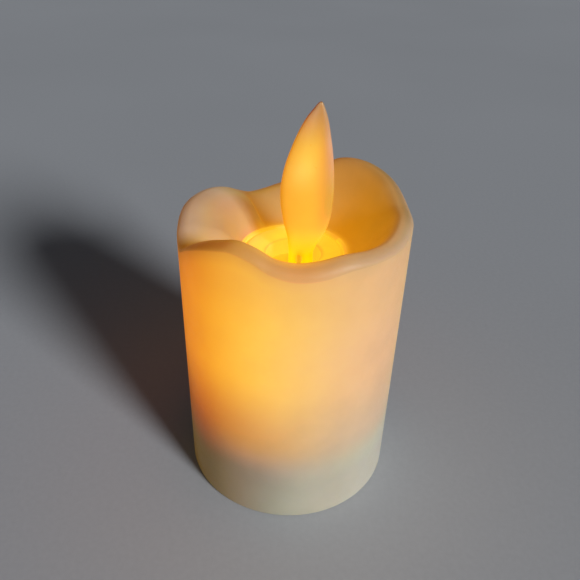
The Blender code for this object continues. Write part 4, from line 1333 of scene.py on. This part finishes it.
def turned_sheet(name, profile, mat, around=96, middle=False):
    """An open sheet from (r, z) in metres; middle fills its first ring."""
    bm = bmesh.new()
    angles = [2 * math.pi * k / around for k in range(around)]
    rows = [[bm.verts.new((r * math.cos(a), r * math.sin(a), z - SHEET_DROP)) for a in angles]
            for r, z in profile]
    for p, q in zip(rows, rows[1:]):
        for i in range(around):
            j = (i + 1) % around
            bm.faces.new((p[i], q[i], q[j], p[j]))
    if middle:
        bm.faces.new(rows[0])
    mesh = bpy.data.meshes.new(name)
    bm.normal_update()
    bm.to_mesh(mesh)
    bm.free()
    mesh.shade_smooth()
    sheet = link(name, mesh, mat)
    return sheet


def build_sheets():
    floor, backdrop = floor_paper(), backdrop_paper()
    turned_sheet("floor", [(0.04, 0.0), (0.2, 0.0), (0.8, 0.0), (FLOOR_R, 0.0)], floor,
                 middle=True)
    curve = [(FLOOR_R + SWEEP_R * math.sin(a), SWEEP_R - SWEEP_R * math.cos(a))
             for a in map(math.radians, range(10, 91, 10))]
    profile = [(FLOOR_R, 0.0), *curve, (FLOOR_R + SWEEP_R, SWEEP_TOP_Z)]
    # the sweep is only seen: it neither blocks nor bounces the light
    sweep = turned_sheet("sweep", profile, backdrop)
    sweep.visible_shadow = sweep.visible_diffuse = sweep.visible_glossy = False


def build_light():
    """A broad soft window, low at the front right, and a faint cool world."""
    data = bpy.data.lights.new("window", "SUN")
    data.angle = math.radians(WINDOW_SPREAD)
    data.energy, data.color = WINDOW_STRENGTH, WINDOW_COLOUR
    lamp = bpy.data.objects.new("window", data)
    bpy.context.scene.collection.objects.link(lamp)
    az, elevation = math.radians(WINDOW_AZ), math.radians(WINDOW_ELEVATION)
    towards = Vector((math.sin(az) * math.cos(elevation), -math.cos(az) * math.cos(elevation),
                      math.sin(elevation)))
    lamp.location = towards * 0.5
    lamp.rotation_mode = "QUATERNION"
    lamp.rotation_quaternion = towards.to_track_quat("Z", "Y")
    world = bpy.data.worlds.new("world")
    bpy.context.scene.world = world
    world.use_nodes = True
    background = world.node_tree.nodes["Background"]
    background.inputs["Color"].default_value = (*AMBIENT_COLOUR, 1.0)
    background.inputs["Strength"].default_value = AMBIENT_STRENGTH


def build_camera():
    data = bpy.data.cameras.new("camera")
    data.sensor_width, data.lens = SENSOR_WIDTH, LENS
    data.clip_start, data.clip_end = 0.005, 10.0
    camera = bpy.data.objects.new("camera", data)
    bpy.context.scene.collection.objects.link(camera)
    down, roll = math.radians(CAMERA_DOWN), math.radians(CAMERA_ROLL)
    forward = Vector((0, math.cos(down), -math.sin(down)))
    level_up = Vector((0, math.sin(down), math.cos(down)))
    level_right = Vector((1, 0, 0))
    right = level_right * math.cos(roll) + level_up * math.sin(roll)
    up = level_up * math.cos(roll) - level_right * math.sin(roll)
    matrix = Matrix((right, up, -forward)).transposed().to_4x4()
    matrix.translation = Vector(CAMERA_PLACE) * MM
    camera.matrix_world = matrix
    bpy.context.scene.camera = camera


for build in (build_shell, build_leaf, build_deck, build_swing, build_housing, build_coil,
              build_board, build_chips, build_capacitor, build_resistor, build_lamps,
              build_screws, build_base_cup, build_cell, build_contacts, build_door,
              build_switch, build_sheets, build_light, build_camera):
    build()

scene = bpy.context.scene
scene.view_settings.view_transform = "Standard"
scene.view_settings.look = "None"
scene.cycles.use_denoising = True
